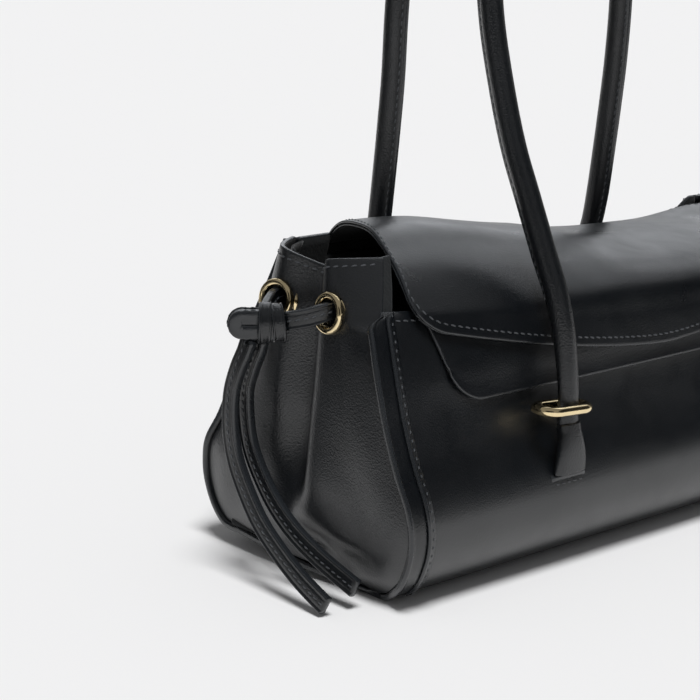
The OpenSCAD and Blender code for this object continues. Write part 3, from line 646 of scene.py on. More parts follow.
def seam_sweep(path, profile, ids, round_top):
    """A profile carried round the body's end, narrowed over round_top at its front top."""
    t = np.gradient(path, axis=0)
    t[:, 0] = 0
    t = unit(t)
    nrm = np.stack([0 * t[:, 0], t[:, 2], -t[:, 1]], -1)
    flip = np.sign(np.sum(nrm * (path - BODY_MIDDLE), 1))
    flip[flip == 0] = 1
    nrm *= flip[:, None]
    prof = np.asarray(profile, float)
    d = lengths(path)
    low = np.clip((path[:, 2] + 0.1) / 6, 0, 1)
    left = prof[:, 0].min() * 0.9
    P = []
    for i in range(len(path)):
        w = math.sqrt(max(0, 1 - (1 - min(1, d[i] / round_top)) ** 2))
        q = left + (prof[:, 0] - left) * max(w, 0.12)
        off = np.where(prof[:, 1] > 0, prof[:, 1] * low[i], prof[:, 1])
        P.append(path[i] + np.outer(q, [1, 0, 0]) + np.outer(off, nrm[i]))
    n, k = len(P), len(prof)
    F = ring_faces(n, k) + end_caps(n, k)
    return (np.array(P).reshape(-1, 3), F, list(ids) * (n - 1) + [1, 1]), nrm


hem_path = seam_path(float(row_at(HEM_H - 0.6)), CORNER_ROW - 0.1)
strip, _ = seam_sweep(seam_path(float(row_at(STRIP_TOP + 3)), CORNER_ROW), STRIP, STRIP_IDS, 5.5)
turned, turned_n = seam_sweep(hem_path, TURNED, TURNED_IDS, 1.2)
for side in SIDES:
    make_end(side, "seam_strip_leather", strip, [M_TRIM, M_EDGE], replaces=(f"{side}_seam_strip",))
    make_end(side, "turned_edge", turned, [M_TRIM, M_EDGE], replaces=(f"{side}_welt",),
             slot="leather_edge")

# Gussets
EYELET_ROW = float(row_at(110))
EYELET_Y = (-21.5, 11.5)
HOLE_R, LINING_HOLE_R = 6.9, 9.0
# Above the hem the gusset's front edge is turned in, up to the panel's end: height, in, back
TURN_FROM = 0.68
TURN_Z, TURN_X, TURN_Y = ([104.5, 107, 112, 118, 124, 130], [0, 4.7, 4.8, 3.4, 1.7, 0.3],
                          [0, 1.7, 1.8, 1.6, 0.9, 0.1])
# Waves in the lower gusset: height, length in y and in z over 2 pi, phase, middle and reach in z
DRAPES = ((0.9, 9.5, 16, 0.6, 30, 24), (0.5, 6.0, -13, 2.0, 52, 22), (0.25, 4.2, 7.5, 0, 20, 16))
# Creases pressed into the lower gusset: from and to in (y, z), width, height
CREASES = (((-7, 24), (-38, 11), 3.2, -1.5), ((-12, 30), (-44, 20), 5, 0.9),
           ((-20, 21), (-47, 18), 2.6, -0.8), ((-3, 22), (14, 34), 4, 0.9),
           ((2, 17), (26, 12), 4, -1.0), ((12, 52), (22, 30), 5, 0.7))
# How far the end lining is held off the gusset's tight lower corners, by height
LINING_IN_Z, LINING_IN = [14, 30], [6, 0]
# The sewn margin behind the turned edge: its width by height
MARGIN_Z, MARGIN_W = [99, 107, 112, 118, 124, 130], [7, 6.8, 6.2, 5.8, 5.2, 4.6]
# Where it starts from the edge, how much further in by height, and the way it runs
MARGIN_START, MARGIN_WAY = np.array([0.6, 1.7, -0.7]), np.array([-1, 0.06, 0])
MARGIN_IN_Z, MARGIN_IN = [99, 104.5, 107], [5, 5, 0.6]


def border(s, front):
    """The gusset's edge: inside the panel by its thickness, and out under the seam strip."""
    one = np.ones_like(s)
    p = face_point(s, one, front)
    d = (face_point(np.minimum(s + 0.05, LAST), one, front)
         - face_point(np.maximum(s - 0.05, 0), one, front))
    d = unit(d[..., 1:])
    inn = np.stack([d[..., 1], -d[..., 0]], -1) * (1 if front else -1)
    # at the base it turns smoothly to straight up
    low = np.clip(s / 1.5, 0, 1)[..., None]
    inn = unit(mix(np.array([0.0, 1.0]), inn, low * low * (3 - 2 * low)))
    bi, bo = PANEL_T + GAP, STRIP_W - 1
    return np.stack([p[..., 0] + bo, p[..., 1] + inn[..., 0] * bi, p[..., 2] + inn[..., 1] * bi], -1)


def gusset_point(s, u):
    """A point of the gusset, at a row and between its front edge (-1) and its back edge (1)."""
    f, b = border(s, True), border(s, False)
    p = mix(f, b, ((u + 1) / 2)[..., None])
    row = along(FORM, s)
    w = np.where(p[..., 1] < FOLD_Y, FOLD_WF, FOLD_WB)
    fold = np.exp(-((p[..., 1] - FOLD_Y) / w) ** 2)
    crown = mix(row[..., FRONT_CROWN], row[..., BACK_CROWN], np.clip((u + 0.6) / 1.2, 0, 1))
    return np.stack([p[..., 0] + crown * (1 - np.abs(u) ** 3) - row[..., FOLD_IN] * fold, p[..., 1],
                     p[..., 2] - TOP_DIP * (s / LAST) ** 6 * fold], -1)


def gusset_rows(count):
    return LAST * (1 - np.linspace(0, 1, count)) ** END_POWER


def gusset_grid(rows, across):
    S, U = np.meshgrid(gusset_rows(rows + 1), np.linspace(-1, 1, across + 1), indexing="ij")
    return tuck(gusset_point(S, U))


def eyelet_frame(y):
    """An eyelet's middle on the gusset, and the direction out of the leather there."""
    s = np.array([EYELET_ROW])
    f, b = border(s, True)[0, 1], border(s, False)[0, 1]

    def pt(yy, ds=0.0):
        return gusset_point(np.array([EYELET_ROW + ds]), np.array([2 * (yy - f) / (b - f) - 1]))[0]
    return pt(y), unit(np.cross(pt(y + 7) - pt(y - 7), pt(y, 0.5) - pt(y, -0.5)))


EYELETS = [eyelet_frame(y) for y in EYELET_Y]


def hole_mask(g, radius, reach=15):
    """The cells of a grid that stay around the eyelets' holes."""
    c = (g[:-1, :-1] + g[1:, 1:] + g[:-1, 1:] + g[1:, :-1]) / 4
    keep = np.ones(c.shape[:2], bool)
    for p, w in EYELETS:
        d = c - p
        h = d @ w
        r = np.linalg.norm(d - h[..., None] * w, axis=-1)
        keep &= ~((r < radius) & (np.abs(h) < reach))
    return keep


def crease(y, z, start, end, wide, high):
    """The height of a crease along a line, at places in (y, z)."""
    a, b = np.array(start, float), np.array(end, float)
    ab = b - a
    q = np.stack([y, z], -1) - a
    t = np.clip(q @ ab / (ab @ ab), 0, 1)
    d = np.linalg.norm(q - t[..., None] * ab, axis=-1)
    return high * np.exp(-(d / wide) ** 2) * (0.35 + 0.65 * np.sin(math.pi * np.clip(t * 0.9 + 0.1, 0, 1)))


def shown_gusset():
    """The gusset's outer face with its turned front edge, soft drapes and creases."""
    g = gusset_grid(150, 190)
    u = np.linspace(-1, 1, g.shape[1])[None, :] + 0 * g[..., 1]
    turn = np.clip((-TURN_FROM - u) / (1 - TURN_FROM), 0, 1) ** 1.4
    z_edge = g[:, :1, 2] + 0 * turn
    g[..., 0] -= np.interp(z_edge, TURN_Z, TURN_X) * turn
    g[..., 1] -= np.interp(z_edge, TURN_Z, TURN_Y) * turn
    y, z = g[..., 1], g[..., 2]
    # the drapes lie in the lower half and fade at the sewn edge
    fade = ((1 - np.abs(u) ** 6) * np.clip((z - 3) / 14, 0, 1)
            * np.clip(gusset_rows(g.shape[0])[:, None] / 1.6, 0, 1) ** 1.5)
    drape = fade * sum(high * np.sin(y / in_y + z / in_z + phase) * np.exp(-((z - middle) / wide) ** 2)
                       for high, in_y, in_z, phase, middle, wide in DRAPES)
    drape += fade * sum(crease(y, z, *c) for c in CREASES)
    return g + normals_of(g) * (drape + ripple(g, 0.18, 4.0) * fade)[..., None]


def margin_grid(gusset):
    """The leather behind the gusset's front edge, which goes down inside the front panel."""
    edge = gusset[:, 0][gusset[:, 0, 2] > MARGIN_Z[0]]
    wide = np.interp(edge[:, 2], MARGIN_Z, MARGIN_W)
    start = edge + MARGIN_START
    start[:, 0] -= np.interp(edge[:, 2], MARGIN_IN_Z, MARGIN_IN)
    return start[:, None] + (wide[:, None] * np.linspace(0, 1, 9))[..., None] * MARGIN_WAY


def gusset_stitches(gusset, margin):
    """Stitches below the gusset's top edge, and down the middle of its margin."""
    n, m = gusset.shape[:2]
    depth = lengths(gusset)
    cols = np.linspace(3, m - 4, 260)
    rows = np.array([np.interp(STITCH_INSET, depth[:, int(round(c))], np.arange(n)) for c in cols])
    line = mix(margin[:, 0], margin[:, -1], 0.5)[1:]
    return join_parts([stitch_run(*surface_line(gusset, normals_of(gusset), rows, cols)),
                       stitch_run(line, np.array([0, -1.0, 0]))])


end_grid = shown_gusset()
end_leather = sheet_mesh(end_grid, -GUSSET_T, 0, 0.5, hole_mask(end_grid, HOLE_R))
end_lining = gusset_grid(60, 80)
end_lining[..., 0] -= np.interp(end_lining[..., 2], LINING_IN_Z, LINING_IN)
end_lining = sheet_mesh(end_lining, -GUSSET_T - WADDING - LINING_T, -GUSSET_T - WADDING, 0.2,
                        hole_mask(end_lining, LINING_HOLE_R, 20))
margin = margin_grid(end_grid)
end_thread = gusset_stitches(end_grid, margin)
end_margin = sheet_mesh(margin, -1.2, 0, 0.4)
for side in SIDES:
    make_end(side, "gusset_leather", end_leather, [M_END, M_EDGE, M_SUEDE], replaces=(f"{side}_gusset",))
    make_end(side, "end_lining_suede", end_lining, [M_SUEDE, M_SUEDE, M_SUEDE],
             replaces=(f"{side}_end_lining",), slot="lining")
    make_end(side, "gusset_thread", end_thread, [M_THREAD], slot="leather_edge")
    make_end(side, "gusset_margin", end_margin, [M_TRIM, M_EDGE, M_SUEDE])

# Facing and lining inside the mouth
# The linings stop short of the panel's ends, at this share of the way
FACING_DEPTH, INSIDE_SHARE = 20, 0.985
FACING_LOW = HEM_H - HEM_DIP - FACING_DEPTH
in_cols = np.linspace(-1, 1, 90)
facing_top = row_at(HEM_H - HEM_DIP * swell(in_cols) - 1)
facing_grid = np.array([face_point(mix(facing_top, row_at(FACING_LOW), t), in_cols * INSIDE_SHARE, True)
                        for t in np.linspace(0, 1, 24)])
sheet("front_facing_leather", facing_grid, -PANEL_T - WADDING - LINING_T - 0.2, -PANEL_T - WADDING,
      [M_TRIM, M_EDGE, M_TRIM], 0.3, replaces=("front_facing",))
lining_grid = wrap(in_cols * INSIDE_SHARE, row_at(FACING_LOW - 0.6), row_at(FOLD_H - FOLD_SAG - 3), 40, 10)
sheet("body_lining_suede", lining_grid, -PANEL_T - WADDING - LINING_T, -PANEL_T - WADDING,
      [M_SUEDE, M_SUEDE, M_SUEDE], 0.2, replaces=("body_lining",), slot="lining")

# Flap
CREST_H, CREST_SAG, EDGE_H, EDGE_RISE, CORNER_R = 137, 15, 83, 25, 13
LEAF_T = 1.6
AXIS_Y = float(panel_y(row_at(FOLD_H), 1.0, False)) + GAP / 2 + FLAP_T
FOLD_GAP = 1.2
FLAP_OUT = LIFT + LEAF_T + GAP + FLAP_LINING_T + GAP / 2 + FLAP_T
# The crest's sag from the left end to the right one, as shares
SAG = [[0], [0.1], [0.4], [0.7], [0.94], [1.02], [1.02], [0.94], [0.6]]
# Columns stand closer together near the flap's ends
ends_close = np.linspace(-1, 1, 151)
FLAP_U = np.sign(ends_close) * (1 - (1 - np.abs(ends_close)) ** 1.6)


def front_reach(z, x, out):
    """How far before the bag's middle the flap lies at a height, over the front panel."""
    s = row_at(z)
    return 1.25 * out - panel_y(s, np.clip(x / seam_x(s, True), -1, 1), True)


def flap_line(u):
    """The flap's (y, z) line from its fold over the crest to its front edge."""
    h = CREST_H - CREST_SAG * float(along(SAG, (u + 1) * 4)[0])
    start = float(fold_at(u * FLAP_BACK_W / 2)) + FOLD_GAP
    edge = EDGE_H + EDGE_RISE * abs(u) ** 1.5 * 0.9
    x = u * FLAP_FRONT_W / 2
    landing = max(HEM_H - HEM_DIP * float(swell(u)) + 1.5, edge + 2)
    half_way = mix(landing, edge, 0.5)
    reach = float(front_reach(landing, x, FLAP_OUT))
    return np.array([
        [AXIS_Y, start], [AXIS_Y - 2.5, mix(start, h, 0.32)], [AXIS_Y - 8, mix(start, h, 0.64)],
        [AXIS_Y - 18, mix(start, h, 0.9)], [AXIS_Y * 0.09, h], [-reach * 0.24, h - 0.6],
        [-reach * 0.5, mix(h, landing, 0.25)], [-reach * 0.76, mix(h, landing, 0.55)],
        [-reach, landing - 0.5], [-float(front_reach(half_way, x, FLAP_OUT)), half_way],
        [-float(front_reach(edge, x, FLAP_OUT)), edge]])


def flap_half(y):
    return mix(FLAP_BACK_W, FLAP_FRONT_W,
               np.clip((AXIS_Y - y) / (AXIS_Y + FRONT_D * 0.7), 0, 1)) / 2


def flap_column(u):
    """One line of the flap, cut short where its front corner is rounded."""
    p = flap_line(u)
    p = along(p, np.linspace(0, len(p) - 1, 401))
    k = max(0, abs(u) * FLAP_FRONT_W / 2 - (FLAP_FRONT_W / 2 - CORNER_R)) / CORNER_R
    d = lengths(p)
    cut = d[-1] - CORNER_R * (1 - math.sqrt(max(0, 1 - k * k)))
    p = at(np.linspace(0, 1, 121) * cut, d, p)
    return np.stack([u * flap_half(p[:, 0]), p[:, 0], p[:, 1]], -1)


flap_grid = np.stack([flap_column(u) for u in FLAP_U], 1)
down = np.linspace(0, 1, flap_grid.shape[0])[:, None] + 0 * FLAP_U[None]
flap_bump = ripple(flap_grid, 0.3, 2.6) * (np.clip(down / 0.12, 0, 1) * np.clip((1 - down) / 0.2, 0, 1))
sheet("flap_leather", flap_grid, -FLAP_T, flap_bump, [M_FLAP, M_EDGE, M_SUEDE], 0.55, body="flap",
      bend=FLAP_BEND, replaces=("flap",))
lining_out = -FLAP_T - GAP / 2
sheet("flap_lining_suede", flap_grid[8:], lining_out - FLAP_LINING_T, lining_out + 0.1,
      [M_SUEDE, M_EDGE, M_SUEDE], 0.35, body="flap", bend=FLAP_BEND, replaces=("flap_lining",),
      slot="lining")


# the margin sewn to the back panel, and its two rows of stitches
FLAP_SEAM_H, FLAP_SEAM_STITCHES = 12, (2.5, 10.0)
seam_cols = np.linspace(1, -1, 90) * FLAP_BACK_W / 2
seam_grid = np.array([panel_at(seam_cols, fold_at(seam_cols) - mix(FOLD_GAP - 0.7, FLAP_SEAM_H, t), False)
                      for t in np.linspace(0, 1, 14)])
sheet("flap_seam_leather", seam_grid, GAP / 2, GAP / 2 + FLAP_T, [M_FLAP, M_EDGE, M_FLAP], 0.5,
      replaces=("flap_seam",))

# Lower flap
LEAF_BOTTOM, LEAF_W, LEAF_TOP_W, LEAF_R = 75, 232, 250, 12
LEAF_ROWS, LEAF_EDGE_LIFT = 49, 0.55


def leaf_row(t):
    a = LEAF_W / 2
    k = np.maximum(0, np.abs(FLAP_U) * a - a + LEAF_R) / LEAF_R
    low = LEAF_BOTTOM + LEAF_R * (1 - np.sqrt(np.maximum(0, 1 - k * k)))
    z = mix(HEM_H - HEM_DIP * swell(FLAP_U) - 2, low, t)
    x = FLAP_U * (mix(LEAF_W, LEAF_TOP_W, np.clip((z - LEAF_BOTTOM) / (HEM_H - LEAF_BOTTOM), 0, 1)) / 2)
    return panel_at(x, z, True)


leaf = np.array([leaf_row(i / (LEAF_ROWS - 1)) for i in range(LEAF_ROWS)])
leaf_lift = LIFT + LEAF_EDGE_LIFT * np.clip((np.linspace(0, 1, LEAF_ROWS)[:, None] - 0.75) / 0.25, 0, 1) ** 2
sheet("lower_flap_leather", leaf, leaf_lift, leaf_lift + LEAF_T, [M_FLAP, M_EDGE, M_SUEDE], 0.6,
      body="flap", replaces=("lower_flap",))

# Thread on the body and the flap


def hem_line(inset):
    """A line below the front hem, and the directions out of the leather along it."""
    c = np.linspace(-INSIDE_SHARE, INSIDE_SHARE, 500)
    s = row_at(HEM_H - HEM_DIP * swell(c) - inset)
    ds, dc = 0.02, 0.002
    n = unit(np.cross(face_point(s, c + dc, True) - face_point(s, c - dc, True),
                      face_point(s + ds, c, True) - face_point(s - ds, c, True)))
    return face_point(s, c, True), n * np.sign(np.sum(n * [0, -1, 0], 1, keepdims=True))


def body_stitches():
    runs = [stitch_run(*hem_line(STITCH_INSET))]
    # down both ends, on the turned edge
    for mirror in ([1, 1, 1], [-1, 1, 1]):
        runs.append(stitch_run((hem_path + [-4.4, 0, 0]) * mirror, turned_n * mirror, lift=0.85, dip=-0.45))
    # two rows on the flap's sewn margin
    x = np.linspace(-FLAP_BACK_W / 2 + 3, FLAP_BACK_W / 2 - 3, 300)
    for t in FLAP_SEAM_STITCHES:
        q = panel_at(x, fold_at(x) - FOLD_GAP - t + 0.8, False) + [0, GAP / 2 + FLAP_T, 0]
        runs.append(stitch_run(q, np.array([0, 1, 0.2])))
    return join_parts(runs)


def inset_line(g, nn, inset, top_row=4):
    """A line that follows the flap's sides, from a row on, and its front edge at a distance."""
    n, m = g.shape[:2]
    left, right, up = lengths(g, 1), lengths(g[:, ::-1], 1), lengths(g[::-1])
    r_end = [np.interp(inset, up[:, j], np.arange(n)[::-1]) for j in range(m)]
    r_side = np.linspace(top_row, r_end[8], 160)
    c_left = np.array([np.interp(inset, left[int(r)], np.arange(m)) for r in r_side])
    c_right = np.array([m - 1 - np.interp(inset, right[int(r)], np.arange(m)) for r in r_side])
    c0 = int(math.ceil(c_left[-1])) + 1
    mid_c = np.arange(c0, m - c0)
    rows = np.concatenate([r_side, [r_end[j] for j in mid_c], r_side[::-1]])
    cols = np.concatenate([c_left, mid_c, c_right[::-1]])
    P, N = surface_line(g, nn, rows, cols)
    # smooth the corners
    for _ in range(12):
        P[1:-1] = (P[:-2] + 2 * P[1:-1] + P[2:]) / 4
    return P, N


make_thread("body_thread", body_stitches())
flap_n = normals_of(flap_grid)
flap_face = flap_grid + flap_n * flap_bump[..., None]
make_thread("flap_thread", stitch_run(*inset_line(flap_face, flap_n, STITCH_INSET)), body="flap",
            bend=FLAP_BEND)

# Handles
KEEP_H, FRONT_KY, BACK_KY, TOP_H, ARCH = 67, 70, 58, 331, 214
LEG = 69
NECK_BELOW, NECK_W, NECK_T, ROLL_R, SEAM = 6.6, 10, 6.2, 4.6, 2.4
FIN_ANGLE = math.radians(26)
# Height above the keepers, and how far the handle has leant in by there
FRONT_LEAN = np.array([
    [-6, 0], [9.4, 0.005], [26, 0.035], [43, 0.097], [53, 0.165], [64, 0.23], [75, 0.3],
    [89, 0.395], [105, 0.49], [122, 0.56], [139, 0.625], [156, 0.67], [193, 0.75], [233, 0.8],
    [264, 0.82]])
BACK_LEAN = np.array([
    [-6, 0], [9, 0.02], [21, 0.07], [32, 0.13], [45, 0.205], [66, 0.275], [88, 0.325],
    [108, 0.375], [129, 0.415], [149, 0.435], [193, 0.475], [233, 0.495], [264, 0.5]])
LEG_HEIGHTS = [-NECK_BELOW, -NECK_BELOW + 1.4, 0, 9, 20, 32, 45, 60, 80, 100, 122]
# Half width, half thickness and fin of the handle, from its flat end to its roll
HANDLE_FORMS = [
    [NECK_W / 2 - 1, NECK_T / 2 - 1, 0], [NECK_W / 2, NECK_T / 2, 0], [NECK_W / 2, NECK_T / 2, 0],
    [NECK_W / 2, NECK_T / 2, 0], [ROLL_R + 0.2, ROLL_R - 0.8, 0], [ROLL_R, ROLL_R, SEAM * 0.2],
    [ROLL_R, ROLL_R, SEAM * 0.7], [ROLL_R, ROLL_R, SEAM]]


def face_name(front):
    return "front" if front else "back"


def handle_y(front, z):
    t = FRONT_LEAN if front else BACK_LEAN
    k = 1 - np.interp(z - KEEP_H, t[:, 0], t[:, 1])
    return float(-FRONT_KY * k if front else BACK_KY * k)


def handle_route(front):
    """From one flat end up a leg, over the arch and down the other leg."""
    half = [[1.0, KEEP_H + h] for h in LEG_HEIGHTS]
    for k in range(8):
        a = math.radians(90 * k / 8)
        half.append([math.cos(a), mix(ARCH, TOP_H, math.sin(a))])
    route = [[-LEG * c, handle_y(front, z), z] for c, z in half]
    route.append([0, handle_y(front, TOP_H), TOP_H])
    return route + [[LEG * c, handle_y(front, z), z] for c, z in half[::-1]]


def roll_section(w, t, fin):
    """Roll with a stitched fin on the side that faces the bag's middle."""
    pts, ids = [], []
    for k in range(ROLL_SIDES):
        a = 2 * math.pi * k / ROLL_SIDES
        x, y = w * math.cos(a), t * math.sin(a)
        painted = 0
        off_top = abs(((a - math.pi / 2 + math.pi) % (2 * math.pi)) - math.pi)
        if fin > 0.05 and off_top < FIN_ANGLE:
            # two leather edges side by side, with a painted tip
            f = off_top / FIN_ANGLE
            side = 1 if math.cos(a) >= 0 else -1
            x = side * (0.55 + 0.75 * min(1, f * 1.6)) if f > 0.05 else 0
            y = t + fin * (1 - max(0, (f - 0.45) / 0.55) ** 1.2 * 1.15 if f > 0.05 else 0.93)
            painted = 1 if f < 0.5 else 0
        pts.append((x, y))
        ids.append(painted)
    return pts, ids


def make_handle(front, per=8):
    body = f"{face_name(front)}_handle"
    route = handle_route(front)
    path = curve(route, per=per)
    count = len(route)
    keys = np.array([HANDLE_FORMS[min(q, count - 1 - q, len(HANDLE_FORMS) - 1)] for q in range(count)])
    keys = at(np.linspace(0, count - 1, (count - 1) * per + 1), np.arange(count), keys)
    sections = [roll_section(*key)[0] for key in keys]
    ids = roll_section(ROLL_R, ROLL_R, SEAM)[1]
    up = [0, 1 if front else -1, 0]
    make(f"{body}_leather", sweep(path, up, sections, ids, rounding=0.5), [M_ROLL, M_EDGE], body=body,
         replaces=(body, f"{body}_core"))
    # stitches on both sides of the fin
    _, a, b = frames(path, up)
    fin = keys[:, 2] > SEAM * 0.6
    runs = [stitch_run((path + b * (ROLL_R + SEAM * 0.42) + a * side * 1.25)[fin], (a * side)[fin],
                       length=2.3, r=0.3, lift=0.02) for side in (1, -1)]
    make_thread(f"{body}_thread", join_parts(runs), body=body)


for front in (True, False):
    make_handle(front)

# Keepers: an oval ring round each strap, tilted a little
K_WIRE, K_L, K_D, K_SHIFT, K_UP, K_TILT = 4.1, 27.8, 15.6, 3.4, 1.2, math.radians(4.5)
K_BEND = (K_D - K_WIRE) / 2
K_RUN = K_L - 2 * K_BEND - K_WIRE
K_IN = K_D / 2 - K_WIRE - 0.25 - NECK_T / 2
quarter_turns = math.pi / 2 + math.pi * np.arange(25) / 24
K_RING = np.array([[side * K_RUN / 2 + K_BEND * math.cos(a + turn), K_BEND * math.sin(a + turn), 0]
                   for side, turn in ((1, -math.pi), (-1, 0)) for a in quarter_turns])
K_SECTION = [(1.05 * K_WIRE / 2 * math.cos(a), K_WIRE / 2 * math.sin(a))
             for a in np.linspace(0, 2 * math.pi, 25)[:-1]]


def corner_name(front, side):
    return f"{face_name(front)}_{'left' if side < 0 else 'right'}"


def make_keeper(front, side):
    nm = f"{corner_name(front, side)}_keeper"
    y = -(FRONT_KY - K_IN) if front else BACK_KY - K_IN
    v, f, i = sweep(K_RING, [0, 0, 1], K_SECTION, closed=True)
    tilt = -side * K_TILT
    turn = np.array([[math.cos(tilt), 0, math.sin(tilt)], [0, 1, 0], [-math.sin(tilt), 0, math.cos(tilt)]])
    v = v @ turn.T + [side * (LEG + K_SHIFT), y, KEEP_H + K_UP]
    make(f"{nm}_ring", (v, f, i), [M_GOLD], body=f"{face_name(front)}_handle", replaces=(nm,), slot="gold")


# The four places where a strap is sewn on: (on the front, side)
CORNERS = [(front, side) for front in (True, False) for side in (-1, 1)]
for corner in CORNERS:
    make_keeper(*corner)

# Eyelets: (radius, height) of the outer flange's dome, the barrel and the inner flange
EYELET = np.array([
    (5.55, 0.6), (5.6, 1.4), (5.95, 2.05), (6.6, 2.35), (7.3, 2.3), (7.9, 1.9), (8.18, 1.3), (8.2, 0.6),
    (8.1, 0.1), (7.0, 0.0), (6.9, -2.2), (8.0, -2.4), (8.2, -3.0), (7.6, -3.8), (6.6, -3.9), (5.8, -3.4),
    (5.5, -2.6)])


def eyelet(p, w):
    x = unit(np.cross([0, 0, 1.0], w))
    y = np.cross(w, x)
    V = []
    for t in np.linspace(0, 2 * math.pi, 65)[:-1]:
        V.append(p + EYELET[:, :1] * (math.cos(t) * x + math.sin(t) * y) + EYELET[:, 1:] * w)
    F = ring_faces(len(V), len(EYELET), closed=True)
    return np.array(V).reshape(-1, 3), F, [0] * len(F)


for side in SIDES:
    make_end(side, "eyelet_rings", join_parts([eyelet(*place) for place in EYELETS]), [M_GOLD],
             replaces=(f"{side}_eyelets",), slot="gold")

# Ties and knots
TIE = [[163, -11, 106], [158, -17, 107.5], [151, -21, 109.5], [144, -22, 110], [136, -19, 110],
       [130, -12, 110], [128, -4, 110], [130, 4, 110], [136, 10, 110], [144, 12, 110],
       [150, 11.5, 110], [157, 7, 108.5], [163, 2, 107]]
KNOT = np.array([166.5, -6, 105])
KNOT_TURN = math.radians(35)
# Each wrap: place along the knot, tilt, radius, direction of the tilt
WRAPS = ((-2.7, 0.12, 6.35, 0.3), (2.1, -0.07, 6.75, 1.0))
CORE_W, CORE_T, WRAP_W, WRAP_T, STUB_T = 10, 12, 5.0, 2.6, 5.6
# The core's ends along the knot, and the stub's stitches: off its middle and to each side
CORE_ENDS, STUB_STITCH_OUT, STUB_STITCH_SIDE = (-3.8, 4.2), 2.75, 2.4


def knot_parts():
    """The knot's straps and stitches: a core, two wraps and the folded stub outside them."""
    ax = np.array([math.cos(KNOT_TURN), math.sin(KNOT_TURN), 0])
    si = np.array([-math.sin(KNOT_TURN), math.cos(KNOT_TURN), 0])
    up = np.array([0, 0, 1.0])

    def place(x, z, y=0.0):
        return KNOT + ax * x + up * z + si * y
    # the core stops light that would come through between the wraps
    core = curve([place(CORE_ENDS[0], 0), KNOT, place(CORE_ENDS[1], 0)], 1.5)
    parts = [sweep(core, up, STRAP * [CORE_W / 2, CORE_T / 2], STRAP_IDS, rounding=0.8)]
    # the flat strap is wound round twice, a little askew
    ts = np.linspace(0, 2 * math.pi, 73)[:-1]
    out = np.array([si * math.cos(t) + up * math.sin(t) for t in ts])
    for off, tilt, rad, ph in WRAPS:
        path = np.array([place(off + tilt * rad * math.sin(t + ph), rad * math.sin(t),
                               rad * math.cos(t) * 0.9) for t in ts])
        parts.append(sweep(path, out, STRAP * [WRAP_W / 2, WRAP_T / 2], STRAP_IDS, closed=True))
    # the strap folded on itself, standing out of the wraps
    bend = [place(2, 2.4), place(7, 2.7, -0.3), place(11, 2.8)]
    for a in np.radians(np.linspace(75, -75, 7)):
        bend.append(place(11.3 + 2.3 * math.cos(a), 2.7 * math.sin(a)))
    bend += [place(11, -2.8), place(7, -2.9, -0.3), place(2, -2.6)]
    loop = curve(bend, 0.6)
    from_mid = loop - place(6, 0)
    out = from_mid - np.outer(from_mid @ si, si)
    flat = (np.abs(out @ up)[:, None] > 2.2) & ((out @ ax)[:, None] < 5)
    out = unit(np.where(flat, np.outer(np.sign(out @ up), up), out))
    for _ in range(5):
        out[1:-1] = (out[:-2] + out[1:-1] * 2 + out[2:]) / 4
    parts.append(sweep(loop, out, STRAP * [TIE_W / 2, STUB_T / 2], STRAP_IDS))
    threads = [stitch_run(loop + out * STUB_STITCH_OUT + si * STUB_STITCH_SIDE * edge, out, pitch=3.0,
                          r=0.28) for edge in (-1, 1)]
    return join_parts(parts), join_parts(threads)


def tie_parts():
    """The strap through the eyelets, which stands on edge: its wide faces look sideways."""
    path = curve(TIE, 1.5)
    up = [0, 0, 1]
    strap = sweep(path, up, STRAP[:, ::-1] * [TIE_T / 2, TIE_W / 2], STRAP_IDS, rounding=0.3)
    return strap, strap_stitches(path, frames(path, up)[1])


knot, knot_thread = knot_parts()
tie, tie_thread = tie_parts()
for side in SIDES:
    make_end(side, "knot_strap", knot, [M_TRIM, M_EDGE], replaces=(f"{side}_knot",))
    make_end(side, "knot_thread", knot_thread, [M_THREAD], slot="leather_edge")
    make_end(side, "tie_strap", tie, [M_TRIM, M_EDGE], replaces=(f"{side}_tie",))
    make_end(side, "tie_thread", tie_thread, [M_THREAD], slot="leather_edge")

# Strap ends: the tabs, the raised lips under them and the lips' stitches
SLIT_H, TAB_W, TAB_T = 42, 17, 3.4
TAB_TOP = KEEP_H - NECK_T / 2 - K_WIRE + 1.2
LIP_W = TAB_W + 2
# Distance below the slit, and the lip's height off the leather there
LIP_DOWN = np.array([0.4, 0.75, 1.3, 1.9, 2.5, 3.0])
LIP_HIGH = np.array([0.1, 0.95, 1.35, 1.2, 0.75, 0.12])
LIP_STITCH_DOWN = 4.3
# The stretch over which a tab would bend with its strap, measured down from its top
TAB_BEND = (5.5, 0.5)


def face_at(front, x, z):
    """A point of the front or back panel at a place and height, and the direction out of it."""
    s = row_at(np.asarray(z, float))
    c = x / seam_x(s, front)
    sign = -1 if front else 1
    y, s2 = panel_y(s, c, front), s + 0.05
    dy, dz = panel_y(s2, c, front) - y, row_height(s2) - row_height(s)
    return np.stack([x + 0 * y, y, row_height(s)], -1), unit(np.stack([0 * dy, sign * dz, -sign * dy], -1))


def tab_section(t):
    """Flat at the slit; its sides are turned back towards the keeper, so it narrows."""
    w = mix(TAB_W, NECK_W + 0.5, min(1, t * 1.2) ** 1.5) / 2
    th = mix(TAB_T, NECK_T + 0.4, t ** 1.2) / 2
    sec = []
    for k in range(ROLL_SIDES):
        a = 2 * math.pi * k / ROLL_SIDES
        x = w * abs(math.cos(a)) ** 0.5 * np.sign(math.cos(a))
        y = th * abs(math.sin(a)) ** 0.7 * np.sign(math.sin(a))
        sec.append((x, y - 0.8 * (1 - t) * (abs(x) / w) ** 3))
    return sec


